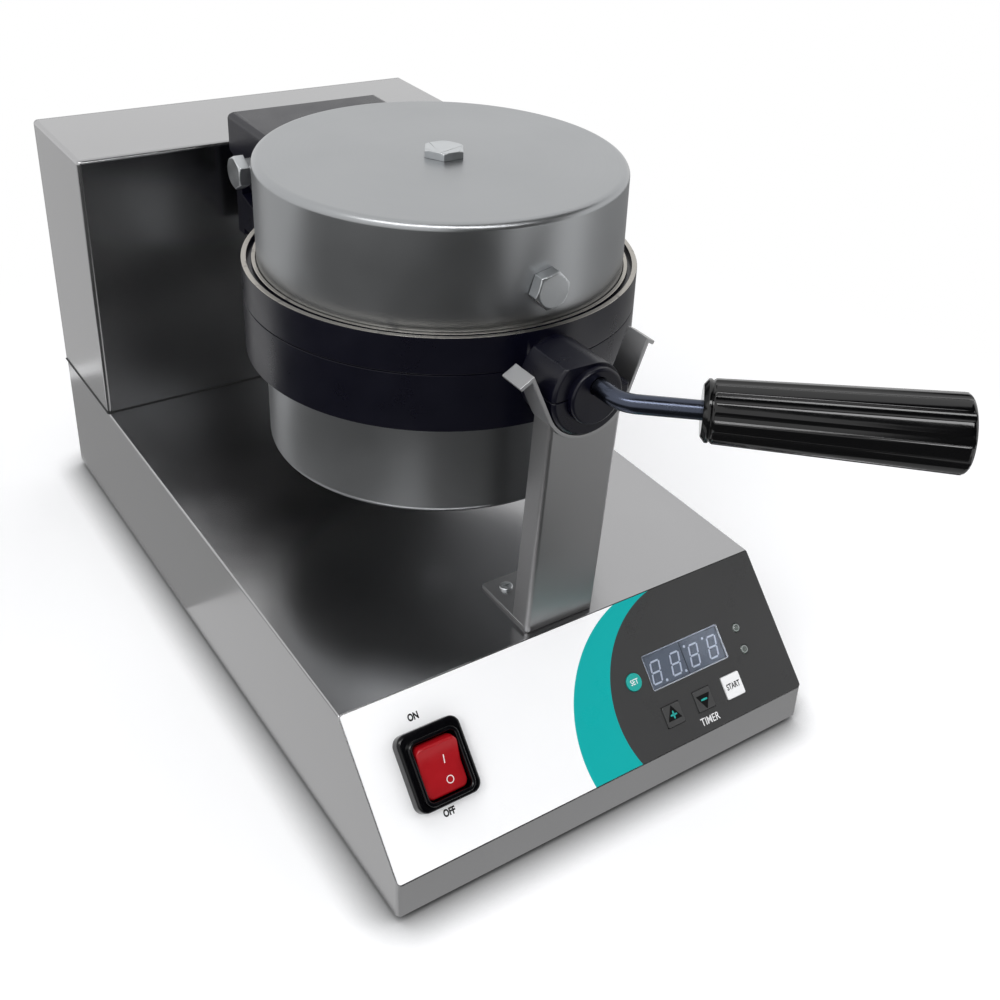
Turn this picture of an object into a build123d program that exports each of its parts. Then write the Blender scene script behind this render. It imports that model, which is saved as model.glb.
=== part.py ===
from build123d import *
from math import acos, atan2, cos, degrees, hypot, radians, sin, sqrt
import os

# Rotary waffle baker: a stainless steel base with a sloped control panel, a rear tower that
# carries a turning shaft, and a round two-part baking head that flips over on that shaft.
# X is to the right, Y to the back, Z up. Millimetres. While modelling, Y is measured from the
# middle of the baking head; place() moves every piece so that the origin is under the middle
# of the whole machine, on the surface that it stands on.

# Base and tower, folded from stainless sheet
base_width = 250.0
base_height = 77.5
base_depth = 454.0
lip_height = 19.9
panel_run = 56.1
foot_stand = 4.0
tower_depth = 83.5
tower_height = 162.8
sheet = 1.2
flange_width = 12.0
corner_radius = 2.5
edge_radius = 1.0
plate_sheet = 1.0
seat_gap = 0.3

# Places of the head
tower_gap = 12.0
flip_height = 138.5

# Baking head
cover_radius = 93.0
cover_show = 51.3
lower_cover_show = 52.6
lower_cover_inset = 2.4
cover_sheet = 1.0
upper_cover_edge = 2.0
lower_cover_edge = 3.0
ring_wall = 7.5
upper_ring_height = 19.0
lower_ring_height = 30.0
ring_groove = 2.2
ring_groove_depth = 3.0
seam_gap = 0.3
grid_step = 0.5
grid_pocket = 12.0
ledge = 4.0
ledge_width = 7.0
grid_rim = 4.5
cavity_height = 13.5
grid_back = 20.0
pin_pitch = 17.0
pin_width = 9.5
pin_height = 10.0
pin_taper = 12.0
bar_width = 3.0
fit_gap = 0.3

# Heater, clamp and insulation behind each grid
heater_inset = 31.0
heater_tube = 8.5
heater_leg = 13.0
heater_open = 24.0
clamp_sheet = 2.0
clamp_margin = 7.0
clamp_inner = 40.0
stud_circle = 48.0
stud_radius = 2.5
wool_inner = 11.0
wool_thick = 18.0
post_radius = 9.0

# Bolts: across flats, head height, shank radius
m10_flats = 17.0
m10_head = 6.4
m10_shank = 5.0
cover_bolt_flats = 19.0
cover_bolt_head = 4.0
m12_flats = 17.0
m12_head = 7.0
m12_shank = 6.0
thread_gap = 0.1
side_bolt_rise = 36.5
side_bolt_length = 22.0

# Front journal, saddle and post
journal_radius = 21.8
journal_lobe = 15.6
journal_neck_radius = 15.0
journal_bite = 4.5
neck_reach = 5.5
drum_length = 28.0
socket_radius = 14.2
socket_length = 4.0
saddle_gap = 0.35
saddle_sheet = 2.0
saddle_setback = 2.0
saddle_width = 15.0
ear_half = 31.0
left_ear_rise = 15.7
left_ear_flare = 8.5
right_ear_rise = 19.8
right_ear_flare = 5.3
ear_droop = 30.0
post_width = 41.0
post_sheet = 2.0
post_flange = 13.0
post_lean = 4.5
post_setback = 10.7
post_foot = 44.0
post_bend = 2.5

# Handle
rod_radius = 4.5
rod_rise = 5.6
rod_in_socket = 23.0
rod_straight = 17.0
rod_bend_radius = 15.0
rod_angle = 39.6
rod_run = 35.0
grip_length = 117.0
grip_inner_radius = 14.6
grip_outer_radius = 18.4
grip_collar = 4.0
grip_hold = 80.0
grip_corner = 3.5
flutes = 10
flute_radius = 5.0
flute_depth = 0.9
running_gap = 0.06

# Lid hinge
hinge_reach = 28.5
hinge_rise = 27.5
cap_half_width = 47.0
cap_wall = 8.0
cap_top_rise = 24.8
cap_top_sheet = 4.0
cap_front_reach = 11.5
cap_length = 50.0
cap_edge = 4.5
knuckle_radius = 14.0
lug_radius = 13.0
lug_outer = 38.0
lug_thick = 8.0
spacer_length = 4.8
spacer_radius = 7.0
hinge_thread = 22.0
bracket_reach = 2.5
flange_thick = 8.0
web_drop = 24.0
web_thick = 8.0
back_plate = 8.0
bracket_length = 75.0
pad_half = 30.0
pad_drop = 26.0
pad_rise = 5.0

# Turning shaft and its bearings
shaft_radius = 12.5
shaft_bore = 8.0
shaft_flange_radius = 27.0
shaft_flange = 5.0
shaft_beyond_collar = 5.0
flange_bolt_circle = 20.5
m6_flats = 10.0
m6_head = 3.6
m6_shank = 3.0
frame_sheet = 4.0
frame_half = 35.0
frame_depth = 50.0
bush_radius = 16.0
bush_flange_radius = 17.8
bush_flange = 3.0
bush_length = 9.0
collar_radius = 17.0
collar_length = 10.0
dog_reach = 22.3
dog_half = 4.0
stop_radius = 3.0
stop_length = 16.0
stop_gap = 0.3

# Control panel
film = 0.5
film_margin = 0.6
switch_inset = 35.3
switch_s = 37.5
bezel_width = 33.0
bezel_length = 37.2
bezel_height = 7.0
bezel_corner = 5.0
rocker_width = 21.4
rocker_radius = 13.2
rocker_offset = 1.2
rocker_gap = 0.4
rocker_tilt = 12.0
rocker_dip = 3.2
rocker_lift = 5.6
rocker_axis = 3.4
rocker_depth = 5.0
rocker_pin = 1.3
switch_body_width = 28.5
switch_body_length = 31.5
switch_body_depth = 24.0
terminal_blade = 8.0
window_rest = 0.8
window_inset = 63.8
window_s = 40.1
window_width = 51.5
window_length = 19.2
digit_block = 8.0
board_depth = 8.4
board_thick = 1.6
board_inset = 63.0
board_width = 88.0
board_s = 50.0
board_length = 54.0
standoff_radius = 2.6
key_travel = 0.5
key_proud = 0.7
key_gap = 0.25
key_flange = 1.0
key_flange_thick = 1.0
key_slack = 0.2
set_inset = 98.9
set_s = 40.9
set_radius = 4.6
arrow_size = 11.0
up_inset = 83.8
up_s = 64.2
down_inset = 63.0
down_s = 63.8
start_inset = 42.5
start_s = 63.8
start_size = 12.2
lamp_inset = 26.7
lamp_first_s = 36.9
lamp_pitch = 12.2
lamp_radius = 2.3

# Underside and back
foot_radius = 12.5
foot_inset_x = 24.0
foot_inset_y = 26.0
foot_screw_radius = 2.5
small_screw = 1.9
small_head = 3.6
small_head_height = 1.5
gland_rise = 30.0
gland_inset = 55.0
gland_radius = 9.0
gland_bore = 4.0
gland_out = 16.0
gland_in = 12.0
gland_hex = 24.0
gland_hex_thick = 5.0
relay_inset = 65.0
vent_rows = 6
vent_pitch = 14.0
vent_length = 90.0
vent_width = 4.0

# Places that follow
half_width = base_width / 2
ring_radius = cover_radius + ring_wall
grid_radius = cover_radius - grid_step
ledge_radius = cover_radius - ledge_width
cavity_radius = grid_radius - grid_rim
lower_cover_radius = cover_radius - lower_cover_inset
heater_radius = cover_radius - heater_inset
clamp_outer = heater_radius + clamp_margin
journal_root = ring_radius - journal_bite
journal_shoulder = ring_radius + neck_reach
journal_front = journal_shoulder + drum_length
socket_front = journal_front + socket_length
saddle_front = journal_front - saddle_setback
post_front = saddle_front - post_setback
rod_bend_y = socket_front + rod_straight
hinge_back = ring_radius + hinge_reach
cap_front = ring_radius + cap_front_reach
cap_back = cap_front + cap_length
bracket_front = ring_radius + bracket_reach
back_plate_end = bracket_front + bracket_length
switch_x = switch_inset - half_width
rocker_s = switch_s + rocker_offset
window_x = half_width - window_inset
board_x = half_width - board_inset
set_x = half_width - set_inset
up_x = half_width - up_inset
down_x = half_width - down_inset
start_x = half_width - start_inset
lamp_x = half_width - lamp_inset
gland_x = gland_inset - half_width
shell_z = foot_stand
base_top = shell_z + base_height
tower_top = base_top + tower_height
tower_front = back_plate_end + tower_gap
back_y = tower_front + tower_depth
lip_y = back_y - base_depth
panel_top_y = lip_y + panel_run
flip_z = base_top + flip_height
panel_drop = base_height - lip_height
panel_length = hypot(panel_run, panel_drop)
panel_tilt = degrees(atan2(panel_drop, panel_run))
grip_dir = (cos(radians(rod_angle)), -sin(radians(rod_angle)))
hinge_y = hinge_back
hinge_z = flip_z + hinge_rise
plate_top = shell_z + plate_sheet

panel = Plane(
    origin=(0, panel_top_y, base_top),
    x_dir=(1, 0, 0),
    z_dir=(0, -sin(radians(panel_tilt)), cos(radians(panel_tilt))),
)


def block(x0, x1, y0, y1, z0, z1):
    """A box between two corners."""
    middle = Pos((x0 + x1) / 2, (y0 + y1) / 2, (z0 + z1) / 2)
    return middle * Box(abs(x1 - x0), abs(y1 - y0), abs(z1 - z0))


def rod_along_x(y, z, x0, x1, radius):
    return Pos((x0 + x1) / 2, y, z) * Rot(0, 90, 0) * Cylinder(radius, abs(x1 - x0))


def rod_along_y(x, z, y0, y1, radius):
    return Pos(x, (y0 + y1) / 2, z) * Rot(90, 0, 0) * Cylinder(radius, abs(y1 - y0))


def rod_along_z(x, y, z0, z1, radius):
    return Pos(x, y, (z0 + z1) / 2) * Cylinder(radius, abs(z1 - z0))


def side_prism(points, x0, x1):
    """Extrude an outline of (y, z) points from x0 to x1."""
    outline = Plane.YZ.offset(x0) * Polygon(*points, align=None)
    return extrude(outline, amount=x1 - x0, dir=(1, 0, 0))


def on_panel(x, s, h=0.0):
    """A place on the sloped panel: s down the slope, h out from the sheet."""
    return panel.location * Pos(x, -s, h)


def hexagon(flats, height):
    """A bolt head or nut with its corners chamfered on top, standing on z = 0."""
    corner = flats / sqrt(3)
    body = extrude(RegularPolygon(corner, 6), amount=height)
    turned = Pos(0, 0, height / 2) * Cylinder(corner + 0.01, height)
    turned = chamfer(turned.edges().sort_by(Axis.Z)[-1], height * 0.16, height * 0.3)
    return body & turned


def hex_bolt(flats, head, shank, length):
    """A hexagon bolt: the head stands up from z = 0 and the shank hangs below."""
    return hexagon(flats, head) + rod_along_z(0, 0, -length, 0, shank)


def hex_nut(flats, height, bore):
    return hexagon(flats, height) - Cylinder(bore, 3 * height)


def pan_screw(length, radius=small_screw, head=small_head, height=small_head_height):
    """A cross-recess screw: the head stands up from z = 0 and the shank hangs below."""
    top = Pos(0, 0, height / 2) * Cylinder(head, height)
    top = fillet(top.edges().sort_by(Axis.Z)[-1], height * 0.55)
    cross = Box(head * 1.1, head * 0.22, height) + Box(head * 0.22, head * 1.1, height)
    return top - Pos(0, 0, height) * cross + rod_along_z(0, 0, -length, 0, radius)


def rounded_plate(width, length, height, corner):
    return extrude(RectangleRounded(width, length, corner), amount=height)


def copies(piece, places):
    """The same piece at each place, as a group of separate solids."""
    return Compound(children=[place * piece for place in places])


def group(*sets):
    """Several sets of solids as one group."""
    return Compound(children=[solid for items in sets for solid in items.solids()])


def upper(piece):
    """Put a piece made on the parting plane into the upper half of the head."""
    return Pos(0, 0, flip_z) * piece


def lower(piece):
    """Turn a piece made on the parting plane over into the lower half."""
    return Pos(0, 0, flip_z) * Rot(0, 180, 0) * piece


def corners(half_x, y0, y1, z):
    return [Pos(x, y, z) for x in (-half_x, half_x) for y in (y0, y1)]


# Fixing points shared by the pieces that meet there
frame_y0 = tower_front + sheet + seat_gap
frame_y1 = frame_y0 + frame_depth
frame_bolt_places = corners(frame_half - 11.0, frame_y0 + 13.0, frame_y1 - 13.0, base_top)
foot_places = corners(half_width - foot_inset_x, lip_y + foot_inset_y, back_y - foot_inset_y, 0)
plate_screw_x = half_width - sheet - flange_width / 2
plate_screw_places = [
    Pos(x, y, shell_z)
    for x in (-plate_screw_x, plate_screw_x)
    for y in (lip_y + base_depth * 0.22, lip_y + base_depth * 0.5, lip_y + base_depth * 0.8)
]
tower_screw_x = half_width - sheet - flange_width / 2
tower_screw_places = corners(tower_screw_x, tower_front + 18.0, back_y - 18.0, base_top + sheet)
cover_screw_places = [
    Pos(x, back_y, z) * Rot(-90, 0, 0)
    for x in (-tower_screw_x, tower_screw_x)
    for z in (base_top + 12.0, base_top + tower_height / 2, tower_top - 12.0)
]
post_foot_y = -post_front + post_foot
post_screw_places = [Pos(x, post_foot_y - 9.0, base_top) for x in (-10.0, 10.0)]
board_corner_x = board_width / 2 - 4.0
board_corner_s = board_length / 2 - 4.0
standoff_places = [
    (board_x + i * board_corner_x, board_s + j * board_corner_s) for i in (-1, 1) for j in (-1, 1)
]
lamp_places = [(lamp_x, lamp_first_s + i * lamp_pitch) for i in (0, 1)]
key_flange_bottom = -sheet - key_slack - key_flange_thick
bracket_screw_z = flip_z - 9.0
bracket_screw_x = (-18.0, 18.0)
wire_hole = 10.0
wire_y = frame_y0 + frame_depth / 2


def base_profile(bottom):
    return Polygon(
        (lip_y, bottom),
        (lip_y, shell_z + lip_height),
        (panel_top_y, base_top),
        (back_y, base_top),
        (back_y, bottom),
        align=None,
    )


def base_housing():
    """Folded shell with the sloped front, open underneath, with two screw flanges."""
    outer = extrude(
        Plane.YZ.offset(-half_width) * base_profile(shell_z), amount=base_width, dir=(1, 0, 0)
    )
    upright = [e for e in outer.edges().filter_by(Axis.Z)]
    outer = fillet(upright, corner_radius)
    top_edges = outer.edges().filter_by(Axis.X).group_by(Axis.Z)[-1]
    outer = fillet(top_edges, edge_radius)
    inner = offset(base_profile(shell_z - 2 * sheet), -sheet, kind=Kind.INTERSECTION)
    outer -= extrude(
        Plane.YZ.offset(sheet - half_width) * inner, amount=base_width - 2 * sheet, dir=(1, 0, 0)
    )
    for side in (-1, 1):
        edge = side * (half_width - sheet / 2)
        outer += block(
            edge, side * (half_width - sheet - flange_width),
            lip_y + sheet / 2, back_y - sheet / 2,
            plate_top, plate_top + sheet,
        )
    for place in plate_screw_places:
        outer -= place * Cylinder(small_screw + thread_gap, 20)
    for place in post_screw_places:
        outer -= place * Cylinder(small_screw + thread_gap, 8 * sheet)
    for place in tower_screw_places:
        outer -= place * Cylinder(small_screw + thread_gap, 8 * sheet)
    for place in frame_bolt_places:
        outer -= place * Cylinder(m6_shank + thread_gap, 8 * sheet)
    outer -= Pos(0, wire_y, base_top) * Cylinder(wire_hole, 8 * sheet)
    outer -= Pos(gland_x, back_y, shell_z + gland_rise) * Rot(90, 0, 0) * Cylinder(
        gland_radius + thread_gap, 8 * sheet
    )
    for row in range(vent_rows):
        z = shell_z + 12.0 + row * 9.0
        slot = Rot(90, 0, 0) * extrude(SlotOverall(60.0, vent_width), amount=4 * sheet, both=True)
        outer -= Pos(45.0, back_y, z) * slot
    return outer - panel_cuts()


def panel_cuts():
    """The openings through the sloped sheet."""
    deep = 4 * sheet
    cuts = on_panel(switch_x, switch_s) * Box(
        switch_body_width + 2 * fit_gap, switch_body_length + 2 * fit_gap, deep
    )
    cuts += on_panel(window_x, window_s) * Box(
        window_width - 2 * window_rest, window_length - 2 * window_rest, deep
    )
    cuts += on_panel(set_x, set_s) * Cylinder(set_radius + key_gap, deep)
    for x, s, size in key_squares():
        cuts += on_panel(x, s) * Box(size + 2 * key_gap, size + 2 * key_gap, deep)
    for x, s in lamp_places:
        cuts += on_panel(x, s) * Cylinder(lamp_radius + fit_gap, deep)
    return cuts


def key_squares():
    return [
        (up_x, up_s, arrow_size),
        (down_x, down_s, arrow_size),
        (start_x, start_s, start_size),
    ]


def control_film():
    """Printed film over the whole slope, cut out for keys, lamps, switch and window."""
    skin = on_panel(0, panel_length / 2) * rounded_plate(
        base_width - 2 * film_margin, panel_length - 2 * film_margin, film, 1.5
    )
    skin -= on_panel(switch_x, switch_s) * Box(
        switch_body_width + 2 * fit_gap, switch_body_length + 2 * fit_gap, 4
    )
    skin -= on_panel(window_x, window_s, -1) * rounded_plate(window_width, window_length, 4, 1.0)
    skin -= on_panel(set_x, set_s) * Cylinder(set_radius + key_gap, 4)
    for x, s, size in key_squares():
        skin -= on_panel(x, s) * Box(size + 2 * key_gap, size + 2 * key_gap, 4)
    for x, s in lamp_places:
        skin -= on_panel(x, s) * Cylinder(lamp_radius + fit_gap, 4)
    return skin


def display_window():
    width = window_width - 2 * thread_gap
    length = window_length - 2 * thread_gap
    return on_panel(window_x, window_s) * rounded_plate(width, length, film, 0.9)


def display_module():
    """Two two-digit blocks side by side, standing on the board under the window."""
    width = window_width / 2 - 2 * fit_gap
    length = window_length - 2 * fit_gap
    tall = board_depth - sheet - key_slack
    digit = Pos(0, 0, tall / 2) * Box(width, length, tall)
    places = [on_panel(window_x + i * window_width / 4, window_s, -board_depth) for i in (-1, 1)]
    return copies(digit, places)


def key_cap(x, s, sketch, wide):
    """A key: its face stands proud of the film and its flange hangs behind the sheet."""
    stem = film + key_proud - key_flange_bottom
    cap = extrude(sketch, amount=stem)
    cap = fillet(cap.faces().sort_by(Axis.Z)[-1].edges(), 0.3)
    cap += extrude(wide, amount=key_flange_thick)
    cap += Pos(0, 0, -key_flange_thick / 2) * Cylinder(1.8, key_flange_thick)
    return on_panel(x, s, key_flange_bottom) * cap


def square_key(x, s, size):
    wide = size + 2 * key_gap + 2 * key_flange
    return key_cap(x, s, RectangleRounded(size, size, 0.8), RectangleRounded(wide, wide, 1.2))


def tact_switches():
    """Small board switches, one under each key."""
    top = key_flange_bottom - key_flange_thick - key_travel - thread_gap
    body_top = top - 1.2
    tall = body_top + board_depth
    body = Pos(0, 0, tall / 2) * Box(6.0, 6.0, tall) + rod_along_z(0, 0, tall / 2, tall + 1.2, 1.7)
    keys = [(set_x, set_s)] + [(x, s) for x, s, size in key_squares()]
    return copies(body, [on_panel(x, s, -board_depth) for x, s in keys])


def indicator_lamps():
    """Two round lamps that stand on the board and show through the film."""
    tall = board_depth + film + 0.6
    lamp = rod_along_z(0, 0, 0, tall - lamp_radius / 2, lamp_radius)
    dome = Pos(0, 0, tall - lamp_radius / 2) * scale(Sphere(lamp_radius), (1, 1, 0.5))
    return copies(lamp + dome, [on_panel(x, s, -board_depth) for x, s in lamp_places])


def control_board():
    board = on_panel(board_x, board_s, -board_depth - board_thick) * rounded_plate(
        board_width, board_length, board_thick, 2.0
    )
    for x, s in standoff_places:
        board -= on_panel(x, s, -board_depth) * Cylinder(1.6, 8)
    chip = on_panel(board_x - 18, board_s + 8, -board_depth - board_thick - 1.0) * Box(14, 14, 2)
    relay = on_panel(board_x + 22, board_s - 6, -board_depth - board_thick - 5.0) * Box(19, 15, 10)
    buzzer = on_panel(board_x + 2, board_s - 12, -board_depth - board_thick - 3.5) * Cylinder(6, 7)
    return board + chip + relay + buzzer


def board_standoffs():
    """Studs welded behind the panel sheet, with the thread that takes the board's nuts."""
    tall = board_depth - sheet
    stud = extrude(RegularPolygon(standoff_radius, 6), amount=-tall)
    stud += rod_along_z(0, 0, -tall - board_thick - 3.0, -tall, 1.5)
    return copies(stud, [on_panel(x, s, -sheet) for x, s in standoff_places])


def board_nuts():
    nut = hex_nut(5.5, 2.4, 1.5 + 0.05)
    down = -board_depth - board_thick
    return copies(Rot(180, 0, 0) * nut, [on_panel(x, s, down) for x, s in standoff_places])


def switch_body():
    """Bezel on the film and body behind it, with a well that the rocker turns in."""
    bezel = rounded_plate(bezel_width, bezel_length, bezel_height, bezel_corner)
    bezel = fillet(bezel.faces().sort_by(Axis.Z)[-1].edges(), 1.6)
    body = Pos(0, 0, -switch_body_depth / 2) * Box(
        switch_body_width, switch_body_length, switch_body_depth
    )
    well_length = 2 * (rocker_radius + rocker_gap)
    well_width = rocker_width + 2 * rocker_gap
    well_floor = rocker_axis - rocker_radius - rocker_gap
    well = Pos(0, -rocker_offset, well_floor) * rounded_plate(well_width, well_length, 30, 0.8)
    pivot = rod_along_x(-rocker_offset, rocker_axis, -rocker_width / 2 - 2, rocker_width / 2 + 2,
                        rocker_pin + running_gap)
    solid = bezel + body - well - pivot
    for x in (-7.0, 7.0):
        for y in (-9.0, 0.0, 9.0):
            solid += Pos(x, y, -switch_body_depth - terminal_blade / 2) * Box(
                4.8, 0.8, terminal_blade + 0.01
            )
    return on_panel(switch_x, switch_s, film) * solid


def switch_rocker():
    """Paddle with a shallow V top, tilted so that its lower end is pressed in."""
    r = rocker_radius
    half = rocker_width / 2
    paddle = rod_along_x(0, 0, -half, half, r)
    top = side_prism([(-r - 1, rocker_lift), (0, rocker_dip), (r + 1, rocker_lift),
                      (r + 1, r + 2), (-r - 1, r + 2)], -half - 1, half + 1)
    paddle = paddle - top - block(-half - 1, half + 1, -r - 1, r + 1, -r - 1, -rocker_depth)
    paddle = fillet(paddle.edges().filter_by(Axis.X).group_by(Axis.Z)[-1], 0.8)
    paddle += rod_along_x(0, 0, -half - 1.5, half + 1.5, rocker_pin)
    return on_panel(switch_x, rocker_s, film + rocker_axis) * Rot(rocker_tilt, 0, 0) * paddle


def base_bottom_plate():
    inset = sheet + fit_gap
    plate = block(inset - half_width, half_width - inset, lip_y + inset, back_y - inset,
                  shell_z, plate_top)
    for place in plate_screw_places:
        plate -= place * Cylinder(small_screw + thread_gap, 20)
    for place in foot_places:
        plate -= place * Cylinder(foot_screw_radius + thread_gap, 20)
    for i in range(9):
        slot = extrude(SlotOverall(70.0, vent_width), amount=10, both=True)
        plate -= Pos(0, 20.0 + i * 12.0, shell_z) * slot
    for x in terminal_screws_x:
        plate -= Pos(x, terminal_y, shell_z) * Cylinder(small_screw + thread_gap, 20)
    for x in relay_screws_x:
        plate -= Pos(x, relay_y, shell_z) * Cylinder(small_screw + thread_gap, 20)
    return plate


def rubber_foot():
    foot = rod_along_z(0, 0, 0, foot_stand, foot_radius)
    foot = chamfer(foot.edges().sort_by(Axis.Z)[0], 0.8)
    foot -= rod_along_z(0, 0, -1, foot_stand * 0.6, foot_screw_radius + 2.6)
    return foot - Cylinder(foot_screw_radius + thread_gap, 20)


def foot_screw():
    screw = pan_screw(plate_sheet + foot_stand + 3.0, foot_screw_radius, 4.6, 1.8)
    return Pos(0, 0, foot_stand * 0.6) * Rot(180, 0, 0) * screw


def tower_housing():
    """Folded shell: front, top and two sides, with flanges at the foot and at the back."""
    back = back_y - sheet
    outer = block(-half_width, half_width, tower_front, back, base_top, tower_top)
    soft = [
        e for e in outer.edges()
        if e.center().Z > base_top + 1 and (
            abs(e.center().Y - tower_front) < 0.01
            or (abs(e.center().Z - tower_top) < 0.01 and e.center().Y < back - 1)
        )
    ]
    outer = fillet(soft, corner_radius)
    outer -= block(sheet - half_width, half_width - sheet, tower_front + sheet, back + 1,
                   base_top - 1, tower_top - sheet)
    for side in (-1, 1):
        edge = side * (half_width - sheet / 2)
        inward = side * (half_width - sheet - flange_width)
        outer += block(edge, inward, tower_front + sheet / 2, back - sheet, base_top,
                       base_top + sheet)
        outer += block(edge, inward, back - sheet, back, base_top, tower_top - sheet / 2)
    outer += block(sheet - half_width, half_width - sheet, back - sheet, back,
                   tower_top - sheet - flange_width, tower_top - sheet / 2)
    outer -= rod_along_y(0, flip_z, tower_front - 5, tower_front + 5, shaft_radius + 1.5)
    for place in tower_screw_places:
        outer -= place * Cylinder(small_screw + thread_gap, 8 * sheet)
    for place in cover_screw_places:
        outer -= place * Cylinder(small_screw + thread_gap, 12 * sheet)
    return outer


def tower_back_cover():
    plate = block(-half_width, half_width, back_y - sheet, back_y, base_top + fit_gap, tower_top)
    plate = fillet([e for e in plate.edges().filter_by(Axis.Y) if e.center().Z > tower_top - 1],
                   corner_radius)
    for place in cover_screw_places:
        plate -= place * Cylinder(small_screw + thread_gap, 12 * sheet)
    for row in range(vent_rows):
        z = base_top + 30.0 + row * vent_pitch
        slot = Rot(90, 0, 0) * extrude(SlotOverall(vent_length, vent_width), amount=5, both=True)
        for x in (-55.0, 55.0):
            plate -= Pos(x, back_y, z) * slot
    return plate


def bearing_frame():
    """Steel frame inside the tower: two upright plates on one foot, with side gussets."""
    top = tower_top - sheet - 2.0
    t = frame_sheet
    frame = block(-frame_half, frame_half, frame_y0, frame_y1, base_top, base_top + t)
    frame += block(-frame_half, frame_half, frame_y0, frame_y0 + t, base_top, top)
    frame += block(-frame_half, frame_half, frame_y1 - t, frame_y1, base_top, top)
    for side in (-1, 1):
        x = side * frame_half
        frame += side_prism([(frame_y0, base_top), (frame_y1, base_top), (frame_y1, base_top + 70),
                             (frame_y0, base_top + 70)], x - side * t, x)
    for place in frame_bolt_places:
        frame -= place * Cylinder(m6_shank + thread_gap, 40)
    frame -= Pos(0, wire_y, base_top) * Cylinder(wire_hole, 30)
    frame -= rod_along_y(0, flip_z, frame_y0 - 1, frame_y1 + 1, bush_radius + 0.02)
    for side in (-1, 1):
        frame -= rod_along_y(side * stop_x, stop_z, frame_y1 - 10, frame_y1 + 1,
                             stop_radius + 0.02)
    return frame


def shaft_bush():
    """Flanged plain bearing, its flange on +Z, its bore a running fit on the shaft."""
    bush = rod_along_z(0, 0, -frame_sheet, bush_length - frame_sheet, bush_radius)
    bush += rod_along_z(0, 0, 0, bush_flange, bush_flange_radius)
    return bush - Cylinder(shaft_radius + running_gap, 60)


collar_y = frame_y1 + bush_length - frame_sheet + 0.5
shaft_end = collar_y + collar_length + shaft_beyond_collar
stop_x = 19.8
stop_z = flip_z - dog_half - stop_gap - stop_radius


def shaft_bushes():
    places = [
        Pos(0, frame_y0 + frame_sheet, flip_z) * Rot(-90, 0, 0),
        Pos(0, frame_y1, flip_z) * Rot(-90, 0, 0),
    ]
    return copies(shaft_bush(), places)


def stop_pins():
    pins = [
        rod_along_y(side * stop_x, stop_z, frame_y1 - frame_sheet, frame_y1 + stop_length,
                    stop_radius)
        for side in (-1, 1)
    ]
    return Compound(children=pins)


def shaft_collar():
    """Clamp ring that keeps the shaft in its bearings; its dog meets the two stop pins."""
    collar = rod_along_y(0, flip_z, collar_y, collar_y + collar_length, collar_radius)
    collar += block(0, dog_reach, collar_y, collar_y + collar_length, flip_z - dog_half,
                    flip_z + dog_half)
    collar -= rod_along_y(0, flip_z, collar_y - 1, collar_y + collar_length + 1,
                          shaft_radius + 0.02)
    return collar


def pivot_shaft():
    """Hollow shaft with a flange that bolts to the hinge bracket; the leads run through it."""
    y0 = back_plate_end
    shaft = rod_along_y(0, flip_z, y0, shaft_end, shaft_radius)
    shaft = chamfer(shaft.edges().sort_by(Axis.Y)[-1], 1.0)
    shaft += rod_along_y(0, flip_z, y0, y0 + shaft_flange, shaft_flange_radius)
    shaft -= rod_along_y(0, flip_z, y0 - 1, shaft_end + 1, shaft_bore)
    for place in flange_bolt_places():
        shaft -= place * Cylinder(m6_shank + thread_gap, 30)
    return shaft


def flange_bolt_places():
    y = back_plate_end + shaft_flange
    r = flange_bolt_circle
    return [
        Pos(r * cos(radians(a)), y, flip_z + r * sin(radians(a))) * Rot(-90, 0, 0)
        for a in (45, 135, 225, 315)
    ]


def hinge_bracket():
    """Cast arm behind the lower ring: flange, web, two hinge lugs and the shaft plate."""
    front = bracket_front
    bottom = flip_z - web_drop - 4.0
    web_top = flip_z - web_drop + web_thick
    bracket = block(-lug_outer, lug_outer, front, front + flange_thick, bottom, flip_z - 3.0)
    bracket += block(-lug_outer, lug_outer, front, back_plate_end, web_top - web_thick, web_top)
    bracket += block(-lug_outer, lug_outer, back_plate_end - back_plate, back_plate_end, bottom,
                     flip_z + shaft_flange_radius + 1.0)
    for side in (-1, 1):
        outer = side * lug_outer
        inner = side * (lug_outer - lug_thick)
        start = cap_front + 0.6
        arm = side_prism([
            (start, bottom + 4.0), (start, flip_z + 18.0),
            (hinge_y - lug_radius, hinge_z), (hinge_y + lug_radius, hinge_z),
            (start + 10.5, flip_z + 1.0), (start + 10.5, bottom + 4.0),
        ], min(outer, inner), max(outer, inner))
        arm += rod_along_x(hinge_y, hinge_z, outer, inner, lug_radius)
        bracket += arm
        bracket += side_prism([
            (start + 5.0, web_top - 1.0), (back_plate_end - 2.0, web_top - 1.0),
            (back_plate_end - 2.0, flip_z - 2.0), (back_plate_end - back_plate, flip_z - 2.0),
        ], min(outer, inner), max(outer, inner))
        bracket -= rod_along_x(hinge_y, hinge_z, outer + side, inner - side,
                               m10_shank + thread_gap)
    bracket -= rod_along_y(0, flip_z, back_plate_end - 20, back_plate_end + 1, shaft_bore)
    for x in bracket_screw_x:
        bracket -= rod_along_y(x, bracket_screw_z, front - 1, front + flange_thick + 1,
                               m6_shank + thread_gap)
    for place in flange_bolt_places():
        bracket -= place * Cylinder(m6_shank + thread_gap, 34)
    return bracket


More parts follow.
